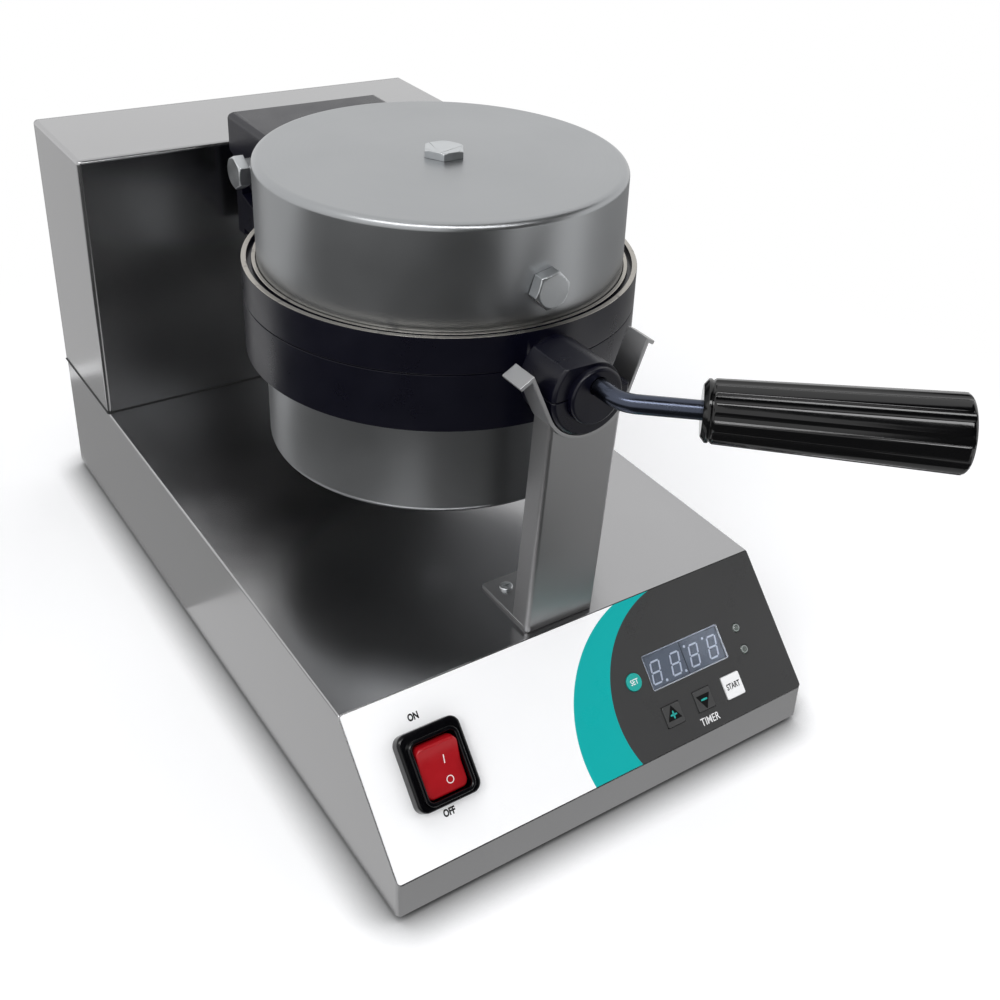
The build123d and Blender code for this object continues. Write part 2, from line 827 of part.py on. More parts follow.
def ring_section(height, cover):
    """Cross-section of a cast ring: outer wall, grid pocket, ledge, cover pocket, groove."""
    gap = seam_gap / 2
    cover_pocket = cover + fit_gap
    groove_out = ring_radius - 2.8
    groove_in = groove_out - ring_groove
    top = grid_pocket + ledge
    return Polygon(
        (grid_radius + fit_gap, gap),
        (ring_radius, gap),
        (ring_radius, height),
        (groove_out, height),
        (groove_out, height - ring_groove_depth),
        (groove_in, height - ring_groove_depth),
        (groove_in, height - 0.6),
        (cover_pocket, height - 0.6),
        (cover_pocket, top),
        (ledge_radius, top),
        (ledge_radius, grid_pocket),
        (grid_radius + fit_gap, grid_pocket),
        align=None,
    )


def ring(height, cover):
    return revolve(Plane.XZ * ring_section(height, cover), Axis.Z)


def half_journal():
    """Half of the front journal, above the parting plane: a narrow neck and a drum."""
    gap = seam_gap / 2
    outline = Polygon(
        (journal_root, 0), (journal_root, journal_neck_radius),
        (journal_shoulder - 2.0, journal_neck_radius), (journal_shoulder, journal_radius - 1.0),
        (journal_shoulder + 1.0, journal_radius), (journal_front - 1.5, journal_radius),
        (journal_front, journal_radius - 1.5), (journal_front, 0),
        align=None,
    )
    lathe = Plane(origin=(0, 0, 0), x_dir=(0, -1, 0), z_dir=(1, 0, 0))
    turned = revolve(lathe * outline, Axis.Y)
    r = journal_radius + 1
    keep = block(-r, r, -journal_front - 1, -journal_root + 1, gap, r)
    bite = rod_along_z(0, 0, -1, r + 1, ring_radius - 3.0)
    return (turned & keep) - bite


def relieved_journal():
    """Upper half of the journal: flat on top, and cut down to the rod's lobe on the right."""
    r = journal_radius + 1
    left = block(-r, 0, -journal_front - 1, -journal_root + 1, 0, journal_lobe)
    lobe = rod_along_y(0, 0, -journal_front - 1, -journal_root + 1, journal_lobe)
    return half_journal() & (left + lobe)


def hinge_cap():
    """Box at the back of the upper ring: front wall, top, short back and two knuckles."""
    gap = seam_gap / 2
    top = hinge_rise + cap_top_rise
    w = cap_half_width
    profile = [
        (cover_radius - 30.0, gap), (cap_front - 5.0, gap), (hinge_y - 11.0, hinge_rise - 9.0),
        (hinge_y + 13.0, hinge_rise - 5.0), (cap_back, hinge_rise + 2.0), (cap_back, top),
        (cover_radius - 30.0, top),
    ]
    cap = side_prism(profile, -w, w)
    cap += rod_along_x(hinge_y, hinge_rise, -w, w, knuckle_radius)
    soft = [
        e for e in cap.edges()
        if e.center().Z > top - 0.01 and (abs(abs(e.center().X) - w) < 0.01
                                         or abs(e.center().Y - cap_back) < 0.01)
    ]
    cap = fillet(soft, cap_edge)
    cap = cap & block(-w, w, 0, cap_back + 1, gap, top + 1)
    cap -= block(cap_wall - w, w - cap_wall, cap_front, cap_back - 4.0, -1, top - cap_top_sheet)
    cap -= rod_along_z(0, 0, -1, upper_ring_height, ring_radius - 3.0)
    cap -= rod_along_z(0, 0, upper_ring_height - 0.6, top + 2, cover_radius + 2.0)
    for side in (-1, 1):
        cap -= rod_along_x(hinge_y, hinge_rise, side * (w + 1), side * (w - cap_wall - 1),
                           m10_shank + running_gap)
    return cap


def upper_ring():
    """Upper casting: ring, half journal with the handle socket, and the hinge cap."""
    casting = ring(upper_ring_height, cover_radius) + relieved_journal() + hinge_cap()
    socket = rod_along_y(0, 0, -socket_front, -journal_front - fit_gap, socket_radius)
    socket = fillet(socket.edges().sort_by(Axis.Y)[0], 1.5)
    neck = rod_along_y(0, 0, -socket_front + 2, -journal_front + 4, socket_radius)
    neck = neck & block(-20, 20, -socket_front, -journal_front + 5, seam_gap / 2, 40)
    casting = casting + socket + neck
    casting -= rod_along_y(0, rod_rise, -socket_front - 1, rod_in_socket - socket_front,
                           rod_radius + 0.05)
    casting -= rod_along_x(set_screw_y, rod_rise, 0, journal_radius, 2.6)
    return upper(casting)


set_screw_y = -(journal_front + journal_shoulder) / 2


def lower_ring():
    """Lower casting: ring, half journal and the flat pad that takes the hinge bracket."""
    casting = ring(lower_ring_height, lower_cover_radius) + half_journal()
    pad = block(-pad_half, pad_half, ring_radius * 0.85, bracket_front, pad_rise - 2.0, pad_drop)
    casting += pad - rod_along_z(0, 0, 0, 60, ring_radius - 3.0)
    for x in bracket_screw_x:
        casting -= rod_along_y(x, flip_z - bracket_screw_z, bracket_front - 9, bracket_front + 1,
                               m6_shank + thread_gap)
    return lower(casting)


def grid_half(post_top, probe):
    """Cast baking plate with tapered pins, four-way bars and the posts on its back."""
    rim = seam_gap
    plate = revolve(Plane.XZ * Polygon(
        (0, cavity_height), (cavity_radius - 4.0, cavity_height), (cavity_radius, rim),
        (grid_radius, rim), (grid_radius, grid_pocket - 0.05), (ledge_radius - fit_gap,
        grid_pocket - 0.05), (ledge_radius - fit_gap, grid_back), (0, grid_back),
        align=None), Axis.Z)
    count = int(cavity_radius // pin_pitch) + 1
    spots = [
        ((i + 0.5) * pin_pitch, (j + 0.5) * pin_pitch)
        for i in range(-count, count) for j in range(-count, count)
        if hypot((i + 0.5) * pin_pitch, (j + 0.5) * pin_pitch) < cavity_radius - 5 - pin_width * 0.8
    ]
    pin = extrude(Rectangle(pin_width, pin_width), amount=pin_height, taper=pin_taper)
    pins = [Pos(x, y, cavity_height) * Rot(180, 0, 0) * pin for x, y in spots]
    plate = plate.fuse(*pins)
    reach = cavity_radius - 3.0
    bar = bar_width / 2
    plate += block(-reach, reach, -bar, bar, cavity_height - pin_height, cavity_height + 1)
    plate += block(-bar, bar, -reach, reach, cavity_height - pin_height, cavity_height + 1)
    plate += rod_along_z(0, 0, grid_back - 1, post_top, post_radius)
    plate -= rod_along_z(0, 0, post_top - 26, post_top + 1, m10_shank + thread_gap)
    for place in stud_spots():
        plate += place * rod_along_z(0, 0, grid_back - 1, clamp_top + 5.0, stud_radius)
    if probe:
        y = -(cover_radius - cover_sheet - 8.0)
        plate += block(-11, 11, y, y + 14, grid_back - 1, side_bolt_rise + 11)
        plate -= rod_along_y(0, side_bolt_rise, y - 1, y + 15, m12_shank + thread_gap)
    return plate


clamp_base = grid_back + heater_tube
clamp_top = clamp_base + clamp_sheet


def stud_spots():
    return [
        Pos(stud_circle * cos(radians(a)), stud_circle * sin(radians(a)), 0)
        for a in (90, 210, 330)
    ]


def heater_half():
    """Tubular heater bent to a ring, with its two ends turned up."""
    r = heater_tube / 2
    z = grid_back + r
    loop = Rot(0, 0, 90 + heater_open / 2) * revolve(
        Plane.XZ * Pos(heater_radius, z) * Circle(r), Axis.Z, 360 - heater_open
    )
    for a in (90 + heater_open / 2, 90 - heater_open / 2):
        x = heater_radius * cos(radians(a))
        y = heater_radius * sin(radians(a))
        loop += Pos(x, y, z) * Sphere(r)
        loop += rod_along_z(x, y, z, z + heater_leg, r)
        loop += rod_along_z(x, y, z, z + heater_leg + 6.0, 1.8)
    return loop


def clamp_half():
    """Pressed plate that holds the heater down on the grid."""
    plate = rod_along_z(0, 0, clamp_base, clamp_top, clamp_outer)
    plate -= rod_along_z(0, 0, clamp_base - 1, clamp_top + 1, clamp_inner)
    for place in stud_spots():
        plate -= place * rod_along_z(0, 0, 0, clamp_top + 1, stud_radius + thread_gap)
    gap = heater_tube / 2 + 1.0
    for a in (90 + heater_open / 2, 90 - heater_open / 2):
        x = heater_radius * cos(radians(a))
        y = heater_radius * sin(radians(a))
        plate -= rod_along_z(x, y, 0, clamp_top + 1, gap)
    return plate


def clamp_nut_set():
    nut = hex_nut(8.0, 4.0, stud_radius + thread_gap)
    return Compound(children=[place * Pos(0, 0, clamp_top) * nut for place in stud_spots()])


def wool_half(radius, cover_top, edge):
    """Mineral wool disc pressed under the cover."""
    top = cover_top - cover_sheet - 0.05
    disc = rod_along_z(0, 0, top - wool_thick, top, radius - cover_sheet - fit_gap)
    disc = chamfer(disc.edges().sort_by(Axis.Z)[-1], edge)
    disc -= rod_along_z(0, 0, 0, top + 1, wool_inner)
    return disc


def cover_half(radius, cover_top, edge, probe):
    """Spun cover with a rounded edge and a hole for its centre bolt."""
    base = grid_pocket + ledge + 0.05
    shell = rod_along_z(0, 0, base, cover_top, radius)
    shell = fillet(shell.edges().sort_by(Axis.Z)[-1], edge)
    inside = rod_along_z(0, 0, base - 1, cover_top - cover_sheet, radius - cover_sheet)
    inside = fillet(inside.edges().sort_by(Axis.Z)[-1], edge - cover_sheet)
    shell -= inside
    shell -= rod_along_z(0, 0, cover_top - 5, cover_top + 5, m10_shank + thread_gap)
    if probe:
        shell -= rod_along_y(0, side_bolt_rise, -radius - 2, -radius + 8,
                             m12_shank + thread_gap)
    return shell


upper_cover_top = upper_ring_height + cover_show
lower_cover_top = lower_ring_height + lower_cover_show


def cover_bolt(cover_top):
    return Pos(0, 0, cover_top) * hex_bolt(cover_bolt_flats, cover_bolt_head, m10_shank, 24.0)


def side_bolt():
    bolt = hex_bolt(m12_flats, m12_head, m12_shank, side_bolt_length)
    return Pos(0, -cover_radius, flip_z + side_bolt_rise) * Rot(90, 0, 0) * Rot(0, 0, 12) * bolt


def hinge_bolt_places():
    x = cap_half_width + fit_gap + spacer_length
    return [
        Pos(-x, hinge_y, hinge_z) * Rot(0, -90, 0),
        Pos(x, hinge_y, hinge_z) * Rot(0, 90, 0),
    ]


def hinge_bolts():
    reach = cap_half_width + fit_gap + spacer_length - hinge_thread
    return copies(hex_bolt(m10_flats, m10_head, m10_shank, reach), hinge_bolt_places())


def hinge_spacers():
    """Sleeves between each bolt head and the knuckle that turns on the bolt."""
    sleeve = rod_along_z(0, 0, -spacer_length, 0, spacer_radius)
    sleeve -= Cylinder(m10_shank + thread_gap, 30)
    return copies(sleeve, hinge_bolt_places())


def flange_bolts():
    bolt = hex_bolt(m6_flats, m6_head, m6_shank, shaft_flange + back_plate)
    return copies(bolt, flange_bolt_places())


def bracket_screws():
    y = bracket_front + flange_thick
    bolt = hex_bolt(m6_flats, m6_head, m6_shank, flange_thick + 7.5)
    places = [Pos(x, y, bracket_screw_z) * Rot(-90, 0, 0) for x in bracket_screw_x]
    return copies(bolt, places)


def support_post():
    """Bent channel whose foot is turned back under the head and screwed to the base."""
    w = post_width / 2
    t = post_sheet
    tall = flip_z - base_top - 10.0
    post = block(-w, w, 0, t, 0.6, tall)
    post += block(-w, -w + t, 0, post_flange, 3.0, tall)
    post += block(w - t, w, 0, post_flange, 3.0, tall)
    bends = [e for e in post.edges().filter_by(Axis.Z) if abs(e.center().Y) < 0.01]
    post = fillet(bends, post_bend)
    post = Pos(0, -post_front, base_top) * Rot(post_lean, 0, 0) * post
    foot = block(-w + 1.0, w - 1.0, -post_front + 0.4, post_foot_y, base_top, base_top + t)
    foot = fillet(foot.edges().filter_by(Axis.Z).group_by(Axis.Y)[-1], 1.5)
    post += foot
    post = post & block(-w - 1, w + 1, -200, 0, base_top, flip_z)
    post -= rod_along_y(0, flip_z, -180, -60, journal_radius + saddle_gap + saddle_sheet)
    for place in post_screw_places:
        post -= place * Cylinder(small_screw + thread_gap, 20)
    return post


def saddle_half(ear_rise, ear_flare):
    """Points of one half of the saddle's section: inner face, then outer face."""
    inner = journal_radius + saddle_gap
    outer = inner + saddle_sheet
    bend = (ear_half, ear_rise)
    angle = atan2(ear_rise, ear_half) - acos(inner / hypot(*bend))
    touch_in = (inner * cos(angle), inner * sin(angle))
    touch_out = (outer * cos(angle), outer * sin(angle))
    droop = radians(ear_droop)
    tip_in = (bend[0] + ear_flare * cos(droop), bend[1] - ear_flare * sin(droop))
    tip_out = (tip_in[0] - saddle_sheet * sin(droop), tip_in[1] - saddle_sheet * cos(droop))
    leg = (-sin(angle), cos(angle))
    ear = (cos(droop), -sin(droop))
    across = (tip_out[0] - touch_out[0], tip_out[1] - touch_out[1])
    run = (across[0] * ear[1] - across[1] * ear[0]) / (leg[0] * ear[1] - leg[1] * ear[0])
    bend_out = (touch_out[0] + leg[0] * run, touch_out[1] + leg[1] * run)
    return [tip_in, bend, touch_in], [touch_out, bend_out, tip_out]


def mirrored(points):
    return [(-x, z) for x, z in points]


def support_saddle():
    """Bent strip that cradles the front journal, with two flared ears, bent by hand."""
    inner = journal_radius + saddle_gap
    outer = inner + saddle_sheet
    right_in, right_out = saddle_half(right_ear_rise, right_ear_flare)
    left_in, left_out = (mirrored(face) for face in saddle_half(left_ear_rise, left_ear_flare))
    outline = Polyline(*left_in)
    outline += ThreePointArc(left_in[-1], (0, -inner), right_in[-1])
    outline += Polyline(*reversed(right_in))
    outline += Line(right_in[0], right_out[-1])
    outline += Polyline(*reversed(right_out))
    outline += ThreePointArc(right_out[0], (0, -outer), left_out[0])
    outline += Polyline(*left_out)
    outline += Line(left_out[-1], left_in[0])
    strip = extrude(
        Plane.XZ.offset(saddle_front) * make_face(outline), amount=saddle_width, dir=(0, 1, 0)
    )
    return Pos(0, 0, flip_z) * strip


def rod_path():
    z = flip_z + rod_rise
    run = rod_run + grip_hold
    end = (run * grip_dir[0], run * grip_dir[1] - rod_bend_y, z)
    start = (0, rod_in_socket - socket_front, z)
    return FilletPolyline(start, (0, -rod_bend_y, z), end, radius=rod_bend_radius)


def handle_rod():
    path = rod_path()
    return sweep((path ^ 0) * Circle(rod_radius), path=path)


def grip_frame():
    origin = (rod_run * grip_dir[0], rod_run * grip_dir[1] - rod_bend_y, flip_z + rod_rise)
    return Plane(origin=origin, x_dir=(0, 0, 1), z_dir=(grip_dir[0], grip_dir[1], 0))


def handle_grip():
    """Tapered fluted grip with a chamfered collar and a flat outer end."""
    body_start = grip_collar + 0.8
    slope = (grip_outer_radius - grip_inner_radius) / (grip_length - body_start)
    corner_start = (grip_outer_radius - slope * grip_corner, grip_length - grip_corner)
    corner_end = (grip_outer_radius - grip_corner, grip_length)
    corner_middle = (grip_outer_radius - 0.3 * grip_corner, grip_length - 0.28 * grip_corner)
    outline = Polyline(
        (0, 0), (grip_inner_radius - 3.0, 0), (grip_inner_radius - 0.3, 2.2),
        (grip_inner_radius - 0.3, grip_collar - 0.4), (grip_inner_radius - 0.9, grip_collar),
        (grip_inner_radius - 0.9, grip_collar + 0.4), (grip_inner_radius, body_start + 0.6),
        corner_start,
    )
    outline += ThreePointArc(corner_start, corner_middle, corner_end)
    outline += Polyline(corner_end, (0, grip_length), (0, 0))
    grip = revolve(Plane.XZ * make_face(outline), Axis.Z)
    lean = degrees(atan2(slope, 1.0))
    reach = grip_inner_radius + flute_radius - flute_depth - slope * body_start
    groove = Pos(reach, 0, 0) * Rot(0, lean, 0) * rod_along_z(
        0, 0, body_start, 2 * grip_length, flute_radius
    )
    for i in range(flutes):
        grip -= Rot(0, 0, i * 360 / flutes) * groove
    grip -= rod_along_z(0, 0, -1, grip_hold + 1.0, rod_radius + 0.02)
    return grip_frame().location * grip


def rod_set_screw():
    """Grub screw in the right side of the journal that locks the handle rod."""
    end = sqrt(journal_lobe ** 2 - rod_rise ** 2) - 1.5
    z = flip_z + rod_rise
    screw = rod_along_x(set_screw_y, z, rod_radius + 0.03, end, 2.5)
    socket = Pos(end, set_screw_y, z) * Rot(0, 90, 0) * extrude(RegularPolygon(1.5, 6), amount=-2.5)
    return screw - socket


def cable_gland():
    """Gland in the back wall with its nut inside and its bore for the mains lead."""
    z = shell_z + gland_rise
    gland = rod_along_y(gland_x, z, back_y - gland_in, back_y + gland_out - 3, gland_radius)
    place = Pos(gland_x, back_y, z) * Rot(-90, 0, 0)
    gland += place * hexagon(gland_hex, gland_hex_thick)
    dome = Pos(0, 0, gland_hex_thick) * Cylinder(
        gland_radius, gland_out - gland_hex_thick, align=(Align.CENTER, Align.CENTER, Align.MIN)
    )
    dome = fillet(dome.edges().sort_by(Axis.Z)[-1], 3.0)
    gland += place * dome
    gland += Pos(gland_x, back_y - sheet, z) * Rot(90, 0, 0) * hexagon(gland_hex, gland_hex_thick)
    return gland - rod_along_y(gland_x, z, back_y - 40, back_y + 40, gland_bore)


def terminal_block():
    """Six-way block for the mains and heater leads, screwed to the bottom plate."""
    z = plate_top
    block_half = terminal_half
    body = block(gland_x - block_half, gland_x + block_half, terminal_y - 9, terminal_y + 9, z, z + 12)
    body += block(gland_x - block_half, gland_x + block_half, terminal_y - 6, terminal_y + 6, z, z + 18)
    for i in range(6):
        x = gland_x + (i - 2.5) * 11.0
        body -= rod_along_z(x, terminal_y - 3.0, z + 12, z + 20, 2.0)
        body -= rod_along_y(x, z + 8, terminal_y - 20, terminal_y + 20, 2.2)
    for x in terminal_screws_x:
        body += block(x - 4, x + 4, terminal_y - 4, terminal_y + 4, z, z + 3)
        body -= Pos(x, terminal_y, z) * Cylinder(small_screw + thread_gap, 20)
    return body


def power_relay():
    """Heater relay in its case, with two ears and six blades."""
    z = plate_top
    body = block(relay_x - 16, relay_x + 16, relay_y - 14, relay_y + 14, z, z + 28)
    body = fillet(body.edges().filter_by(Axis.Z), 1.5)
    for i in (-1, 0, 1):
        for j in (-1, 1):
            body += block(relay_x + i * 10 - 3.1, relay_x + i * 10 + 3.1, relay_y + j * 7 - 0.4,
                          relay_y + j * 7 + 0.4, z + 27, z + 37)
    for x in relay_screws_x:
        body += block(x - 4.5, x + 4.5, relay_y - 5, relay_y + 5, z, z + 2)
        body -= Pos(x, relay_y, z) * Cylinder(small_screw + thread_gap, 20)
    return body


terminal_half = 34.0
terminal_y = back_y - 60.0
terminal_screws_x = (gland_x - terminal_half - 3.0, gland_x + terminal_half + 3.0)
relay_x = half_width - relay_inset
relay_y = back_y - 70.0
relay_screws_x = (relay_x - 20.0, relay_x + 20.0)
inside_screw_places = [Pos(x, terminal_y, shell_z) for x in terminal_screws_x]
inside_screw_places += [Pos(x, relay_y, shell_z) for x in relay_screws_x]

grip = handle_grip()
gland = cable_gland()
front_reach = grip.bounding_box().min.Y
back_reach = gland.bounding_box().max.Y
middle_y = (front_reach + back_reach) / 2

upper_post_top = upper_cover_top - cover_sheet - fit_gap
lower_post_top = lower_cover_top - cover_sheet - fit_gap

parts = {
    "base_housing": base_housing(),
    "base_bottom_plate": base_bottom_plate(),
    "bottom_screws": copies(
        Rot(180, 0, 0) * pan_screw(7.0), plate_screw_places + inside_screw_places
    ),
    "rubber_feet": copies(rubber_foot(), foot_places),
    "foot_screws": group(
        copies(foot_screw(), foot_places),
        copies(Pos(0, 0, plate_top) * hex_nut(8.0, 3.6, foot_screw_radius), foot_places),
    ),
    "tower_housing": tower_housing(),
    "tower_screws": copies(pan_screw(7.0), tower_screw_places + cover_screw_places),
    "tower_back_cover": tower_back_cover(),
    "bearing_frame": bearing_frame(),
    "frame_bolts": group(
        copies(Pos(0, 0, frame_sheet) * hex_bolt(m6_flats, m6_head, m6_shank, 14.0),
               frame_bolt_places),
        copies(Pos(0, 0, -sheet) * Rot(180, 0, 0) * hex_nut(m6_flats, 5.0, m6_shank),
               frame_bolt_places),
    ),
    "shaft_bushes": shaft_bushes(),
    "stop_pins": stop_pins(),
    "support_post": support_post(),
    "support_saddle": support_saddle(),
    "post_screws": copies(Pos(0, 0, post_sheet) * pan_screw(8.0), post_screw_places),
    "control_panel_film": control_film(),
    "display_window": display_window(),
    "display_module": display_module(),
    "control_board": control_board(),
    "board_standoffs": board_standoffs(),
    "board_nuts": board_nuts(),
    "tact_switches": tact_switches(),
    "indicator_lamps": indicator_lamps(),
    "switch_body": switch_body(),
    "switch_rocker": switch_rocker(),
    "set_key": key_cap(set_x, set_s, Circle(set_radius), Circle(set_radius + key_gap + key_flange)),
    "up_key": square_key(up_x, up_s, arrow_size),
    "down_key": square_key(down_x, down_s, arrow_size),
    "start_key": square_key(start_x, start_s, start_size),
    "cable_gland": gland,
    "terminal_block": terminal_block(),
    "power_relay": power_relay(),
    "pivot_shaft": pivot_shaft(),
    "shaft_collar": shaft_collar(),
    "flange_bolts": flange_bolts(),
    "hinge_bracket": hinge_bracket(),
    "bracket_screws": bracket_screws(),
    "hinge_bolts": hinge_bolts(),
    "hinge_spacers": hinge_spacers(),
    "lower_ring": lower_ring(),
    "lower_grid": lower(grid_half(lower_post_top, False)),
    "lower_heater": lower(heater_half()),
    "lower_heater_clamp": lower(clamp_half()),
    "lower_clamp_nuts": lower(clamp_nut_set()),
    "lower_insulation": lower(
        wool_half(lower_cover_radius, lower_cover_top, lower_cover_edge)
    ),
    "lower_cover": lower(
        cover_half(lower_cover_radius, lower_cover_top, lower_cover_edge, False)
    ),
    "lower_cover_bolt": lower(cover_bolt(lower_cover_top)),
    "upper_ring": upper_ring(),
    "upper_grid": upper(grid_half(upper_post_top, True)),
    "upper_heater": upper(heater_half()),
    "upper_heater_clamp": upper(clamp_half()),
    "upper_clamp_nuts": upper(clamp_nut_set()),
    "upper_insulation": upper(wool_half(cover_radius, upper_cover_top, upper_cover_edge)),
    "upper_cover": upper(cover_half(cover_radius, upper_cover_top, upper_cover_edge, True)),
    "upper_cover_bolt": upper(cover_bolt(upper_cover_top)),
    "side_bolt": side_bolt(),
    "handle_rod": handle_rod(),
    "handle_grip": grip,
    "rod_set_screw": rod_set_screw(),
}

os.makedirs("parts", exist_ok=True)
for name, piece in parts.items():
    export_step(Pos(0, -middle_y, 0) * piece, f"parts/{name}.step")


def at_origin(label, point):
    x, y, z = point
    print(label, round(x / 1000, 7), round((y - middle_y) / 1000, 7), round(z / 1000, 7))


at_origin("flip", (0, tower_front, flip_z))
at_origin("hinge", (0, hinge_y, hinge_z))
rocker_at = on_panel(switch_x, rocker_s, film + rocker_axis).position
at_origin("rocker", tuple(rocker_at))
for label, x, s in (
    ("set", set_x, set_s), ("up", up_x, up_s), ("down", down_x, down_s), ("start", start_x, start_s)
):
    at_origin(label, tuple(on_panel(x, s, film + key_proud).position))
at_origin("foot", (half_width - foot_inset_x, lip_y + foot_inset_y, 0))
at_origin("gland", (gland_x, back_y + gland_out, shell_z + gland_rise))
at_origin("head", (0, 0, flip_z))
at_origin("window", tuple(on_panel(window_x, window_s, film).position))
at_origin("grip", tuple((grip_frame().location * Pos(0, 0, grip_length / 2)).position))
print("normal", tuple(panel.z_dir))
print("middle_y", middle_y, front_reach, back_reach)
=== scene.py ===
import math

import bmesh
import bpy
from mathutils import Matrix, Vector


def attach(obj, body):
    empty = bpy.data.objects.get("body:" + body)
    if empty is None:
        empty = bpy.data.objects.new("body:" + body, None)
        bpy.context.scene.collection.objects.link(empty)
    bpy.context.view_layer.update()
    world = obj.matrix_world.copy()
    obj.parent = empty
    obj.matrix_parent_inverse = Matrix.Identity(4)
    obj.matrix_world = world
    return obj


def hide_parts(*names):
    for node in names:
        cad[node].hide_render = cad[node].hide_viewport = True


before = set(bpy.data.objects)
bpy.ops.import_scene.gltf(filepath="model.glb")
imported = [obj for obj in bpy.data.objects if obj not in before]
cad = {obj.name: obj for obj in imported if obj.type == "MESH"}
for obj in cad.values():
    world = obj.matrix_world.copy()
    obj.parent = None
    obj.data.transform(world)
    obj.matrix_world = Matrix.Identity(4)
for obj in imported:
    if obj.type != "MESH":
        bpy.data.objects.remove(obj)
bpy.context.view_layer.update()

# The camera of the catalogue shot looks down on the machine from the left of its panel, through
# a normal lens. The picture is cut out of a larger shot, so the lens is shifted by that much.
# The matrix holds the camera's right, up, back and place in its columns.
sight = bpy.data.cameras.new("shot")
sight.lens = 46.81
sight.sensor_width = 36.0
sight.shift_x = -0.10413
sight.shift_y = -0.11353
viewer = bpy.data.objects.new("shot", sight)
bpy.context.scene.collection.objects.link(viewer)
viewer.matrix_world = Matrix((
    (0.8021973, 0.2336027, -0.5494627, -0.317476),
    (-0.5926687, 0.4229541, -0.6854587, -0.550185),
    (0.0722725, 0.8755225, 0.4777416, 0.503459),
    (0.0, 0.0, 0.0, 1.0),
))
bpy.context.scene.camera = viewer
bpy.context.scene.view_settings.view_transform = "Standard"

# The sky of the studio: plain white to the camera and in shiny or clear surfaces, and half as
# bright for the light that it throws. With the lamps it gives the level at which a white sheet
# shows about as it is painted.
sky_light = 0.5


def linear(colour):
    """A six-digit sRGB colour as the linear values that a shader takes."""
    parts = [int(colour[i:i + 2], 16) / 255 for i in (0, 2, 4)]
    return [c / 12.92 if c <= 0.04045 else ((c + 0.055) / 1.055) ** 2.4 for c in parts] + [1.0]


def add_node(tree, kind, sockets=None, **settings):
    """Add a node, set it, and give each named socket a value or a link."""
    made = tree.nodes.new(kind)
    for name, value in settings.items():
        setattr(made, name, value)
    for socket, value in (sockets or {}).items():
        if isinstance(value, bpy.types.NodeSocket):
            tree.links.new(value, made.inputs[socket])
        else:
            made.inputs[socket].default_value = value
    return made


def seen_directly(tree):
    """1 for what the camera, a shiny surface or a clear one sees, 0 for the light on a dull one."""
    ray = add_node(tree, "ShaderNodeLightPath")
    seen = add_node(tree, "ShaderNodeMath", {0: ray.outputs["Is Camera Ray"],
                    1: ray.outputs["Is Glossy Ray"]}, operation="MAXIMUM")
    return add_node(tree, "ShaderNodeMath", {0: seen.outputs[0],
                    1: ray.outputs["Is Transmission Ray"]}, operation="MAXIMUM").outputs[0]


sky = bpy.data.worlds.new("white sweep")
sky.use_nodes = True
bpy.context.scene.world = sky
tree = sky.node_tree
tree.nodes.clear()
dim = add_node(tree, "ShaderNodeBackground", {"Color": linear("FAFBFF"), "Strength": sky_light})
white = add_node(tree, "ShaderNodeBackground", {"Color": linear("FFFFFF"), "Strength": 1.0})
air = add_node(tree, "ShaderNodeMixShader", {0: seen_directly(tree), 1: dim.outputs[0],
               2: white.outputs[0]})
add_node(tree, "ShaderNodeOutputWorld", {"Surface": air.outputs[0]})

# The sweep under the machine: matt white paper that keeps its shadow. Near the housing its colour
# and glow are darkened as well, a painted shade, deepest in the nook where the housing comes down
# to it. Away from the machine the paper fades to plain white.
mm = 0.001
sweep_radius = 6.0
paper_white = "FBFBFB"
paper_in_shade = "545454"
shade_reach = 21 * mm
shade_power = 1.9
paper_glow = 0.13
fade_from, fade_to = 0.3, 0.62

# The colours of a Mix node share their names with its other sockets, so they go by number.
first_colour, second_colour, mixed_colour = 6, 7, 2


def deselect():
    """Nothing selected and nothing active."""
    bpy.ops.object.select_all(action="DESELECT")
    bpy.context.view_layer.objects.active = None


deselect()
bpy.ops.mesh.primitive_circle_add(vertices=96, radius=sweep_radius, fill_type="NGON")
floor = bpy.context.object
floor.name = "floor"
paper = bpy.data.materials.new("sweep, matt white paper")
paper.use_nodes = True
tree = paper.node_tree
matt = tree.nodes["Principled BSDF"]
# Painted shade: the paper's colour and glow darken by how closed in it is near the housing.
nook = add_node(tree, "ShaderNodeAmbientOcclusion", {"Distance": shade_reach}, samples=12)
open_air = add_node(tree, "ShaderNodeMath", {0: nook.outputs["AO"], 1: shade_power},
                    operation="POWER").outputs[0]
tone = add_node(tree, "ShaderNodeMix", {0: open_air, first_colour: linear(paper_in_shade),
                second_colour: linear(paper_white)}, data_type="RGBA")
tree.links.new(tone.outputs[mixed_colour], matt.inputs["Base Color"])
matt.inputs["Roughness"].default_value = 0.9
matt.inputs["Specular IOR Level"].default_value = 0.1
open_glow = add_node(tree, "ShaderNodeMath", {0: open_air, 1: paper_glow}, operation="MULTIPLY")
seen_glow = add_node(tree, "ShaderNodeMath", {0: seen_directly(tree), 1: open_glow.outputs[0]},
                     operation="MULTIPLY")
bloom = add_node(tree, "ShaderNodeEmission", {"Color": linear("FFFFFF"),
                 "Strength": seen_glow.outputs[0]})
near = add_node(tree, "ShaderNodeAddShader", {0: matt.outputs[0], 1: bloom.outputs[0]})
place = add_node(tree, "ShaderNodeTexCoord").outputs["Object"]
away = add_node(tree, "ShaderNodeVectorMath", {0: place}, operation="LENGTH").outputs["Value"]
fade = add_node(tree, "ShaderNodeMapRange", {"Value": away, "From Min": fade_from,
                "From Max": fade_to}, interpolation_type="SMOOTHSTEP").outputs[0]
share = add_node(tree, "ShaderNodeMath", {0: fade, 1: seen_directly(tree)}, operation="MULTIPLY")
far = add_node(tree, "ShaderNodeEmission", {"Color": linear("FFFFFF"), "Strength": 1.0})
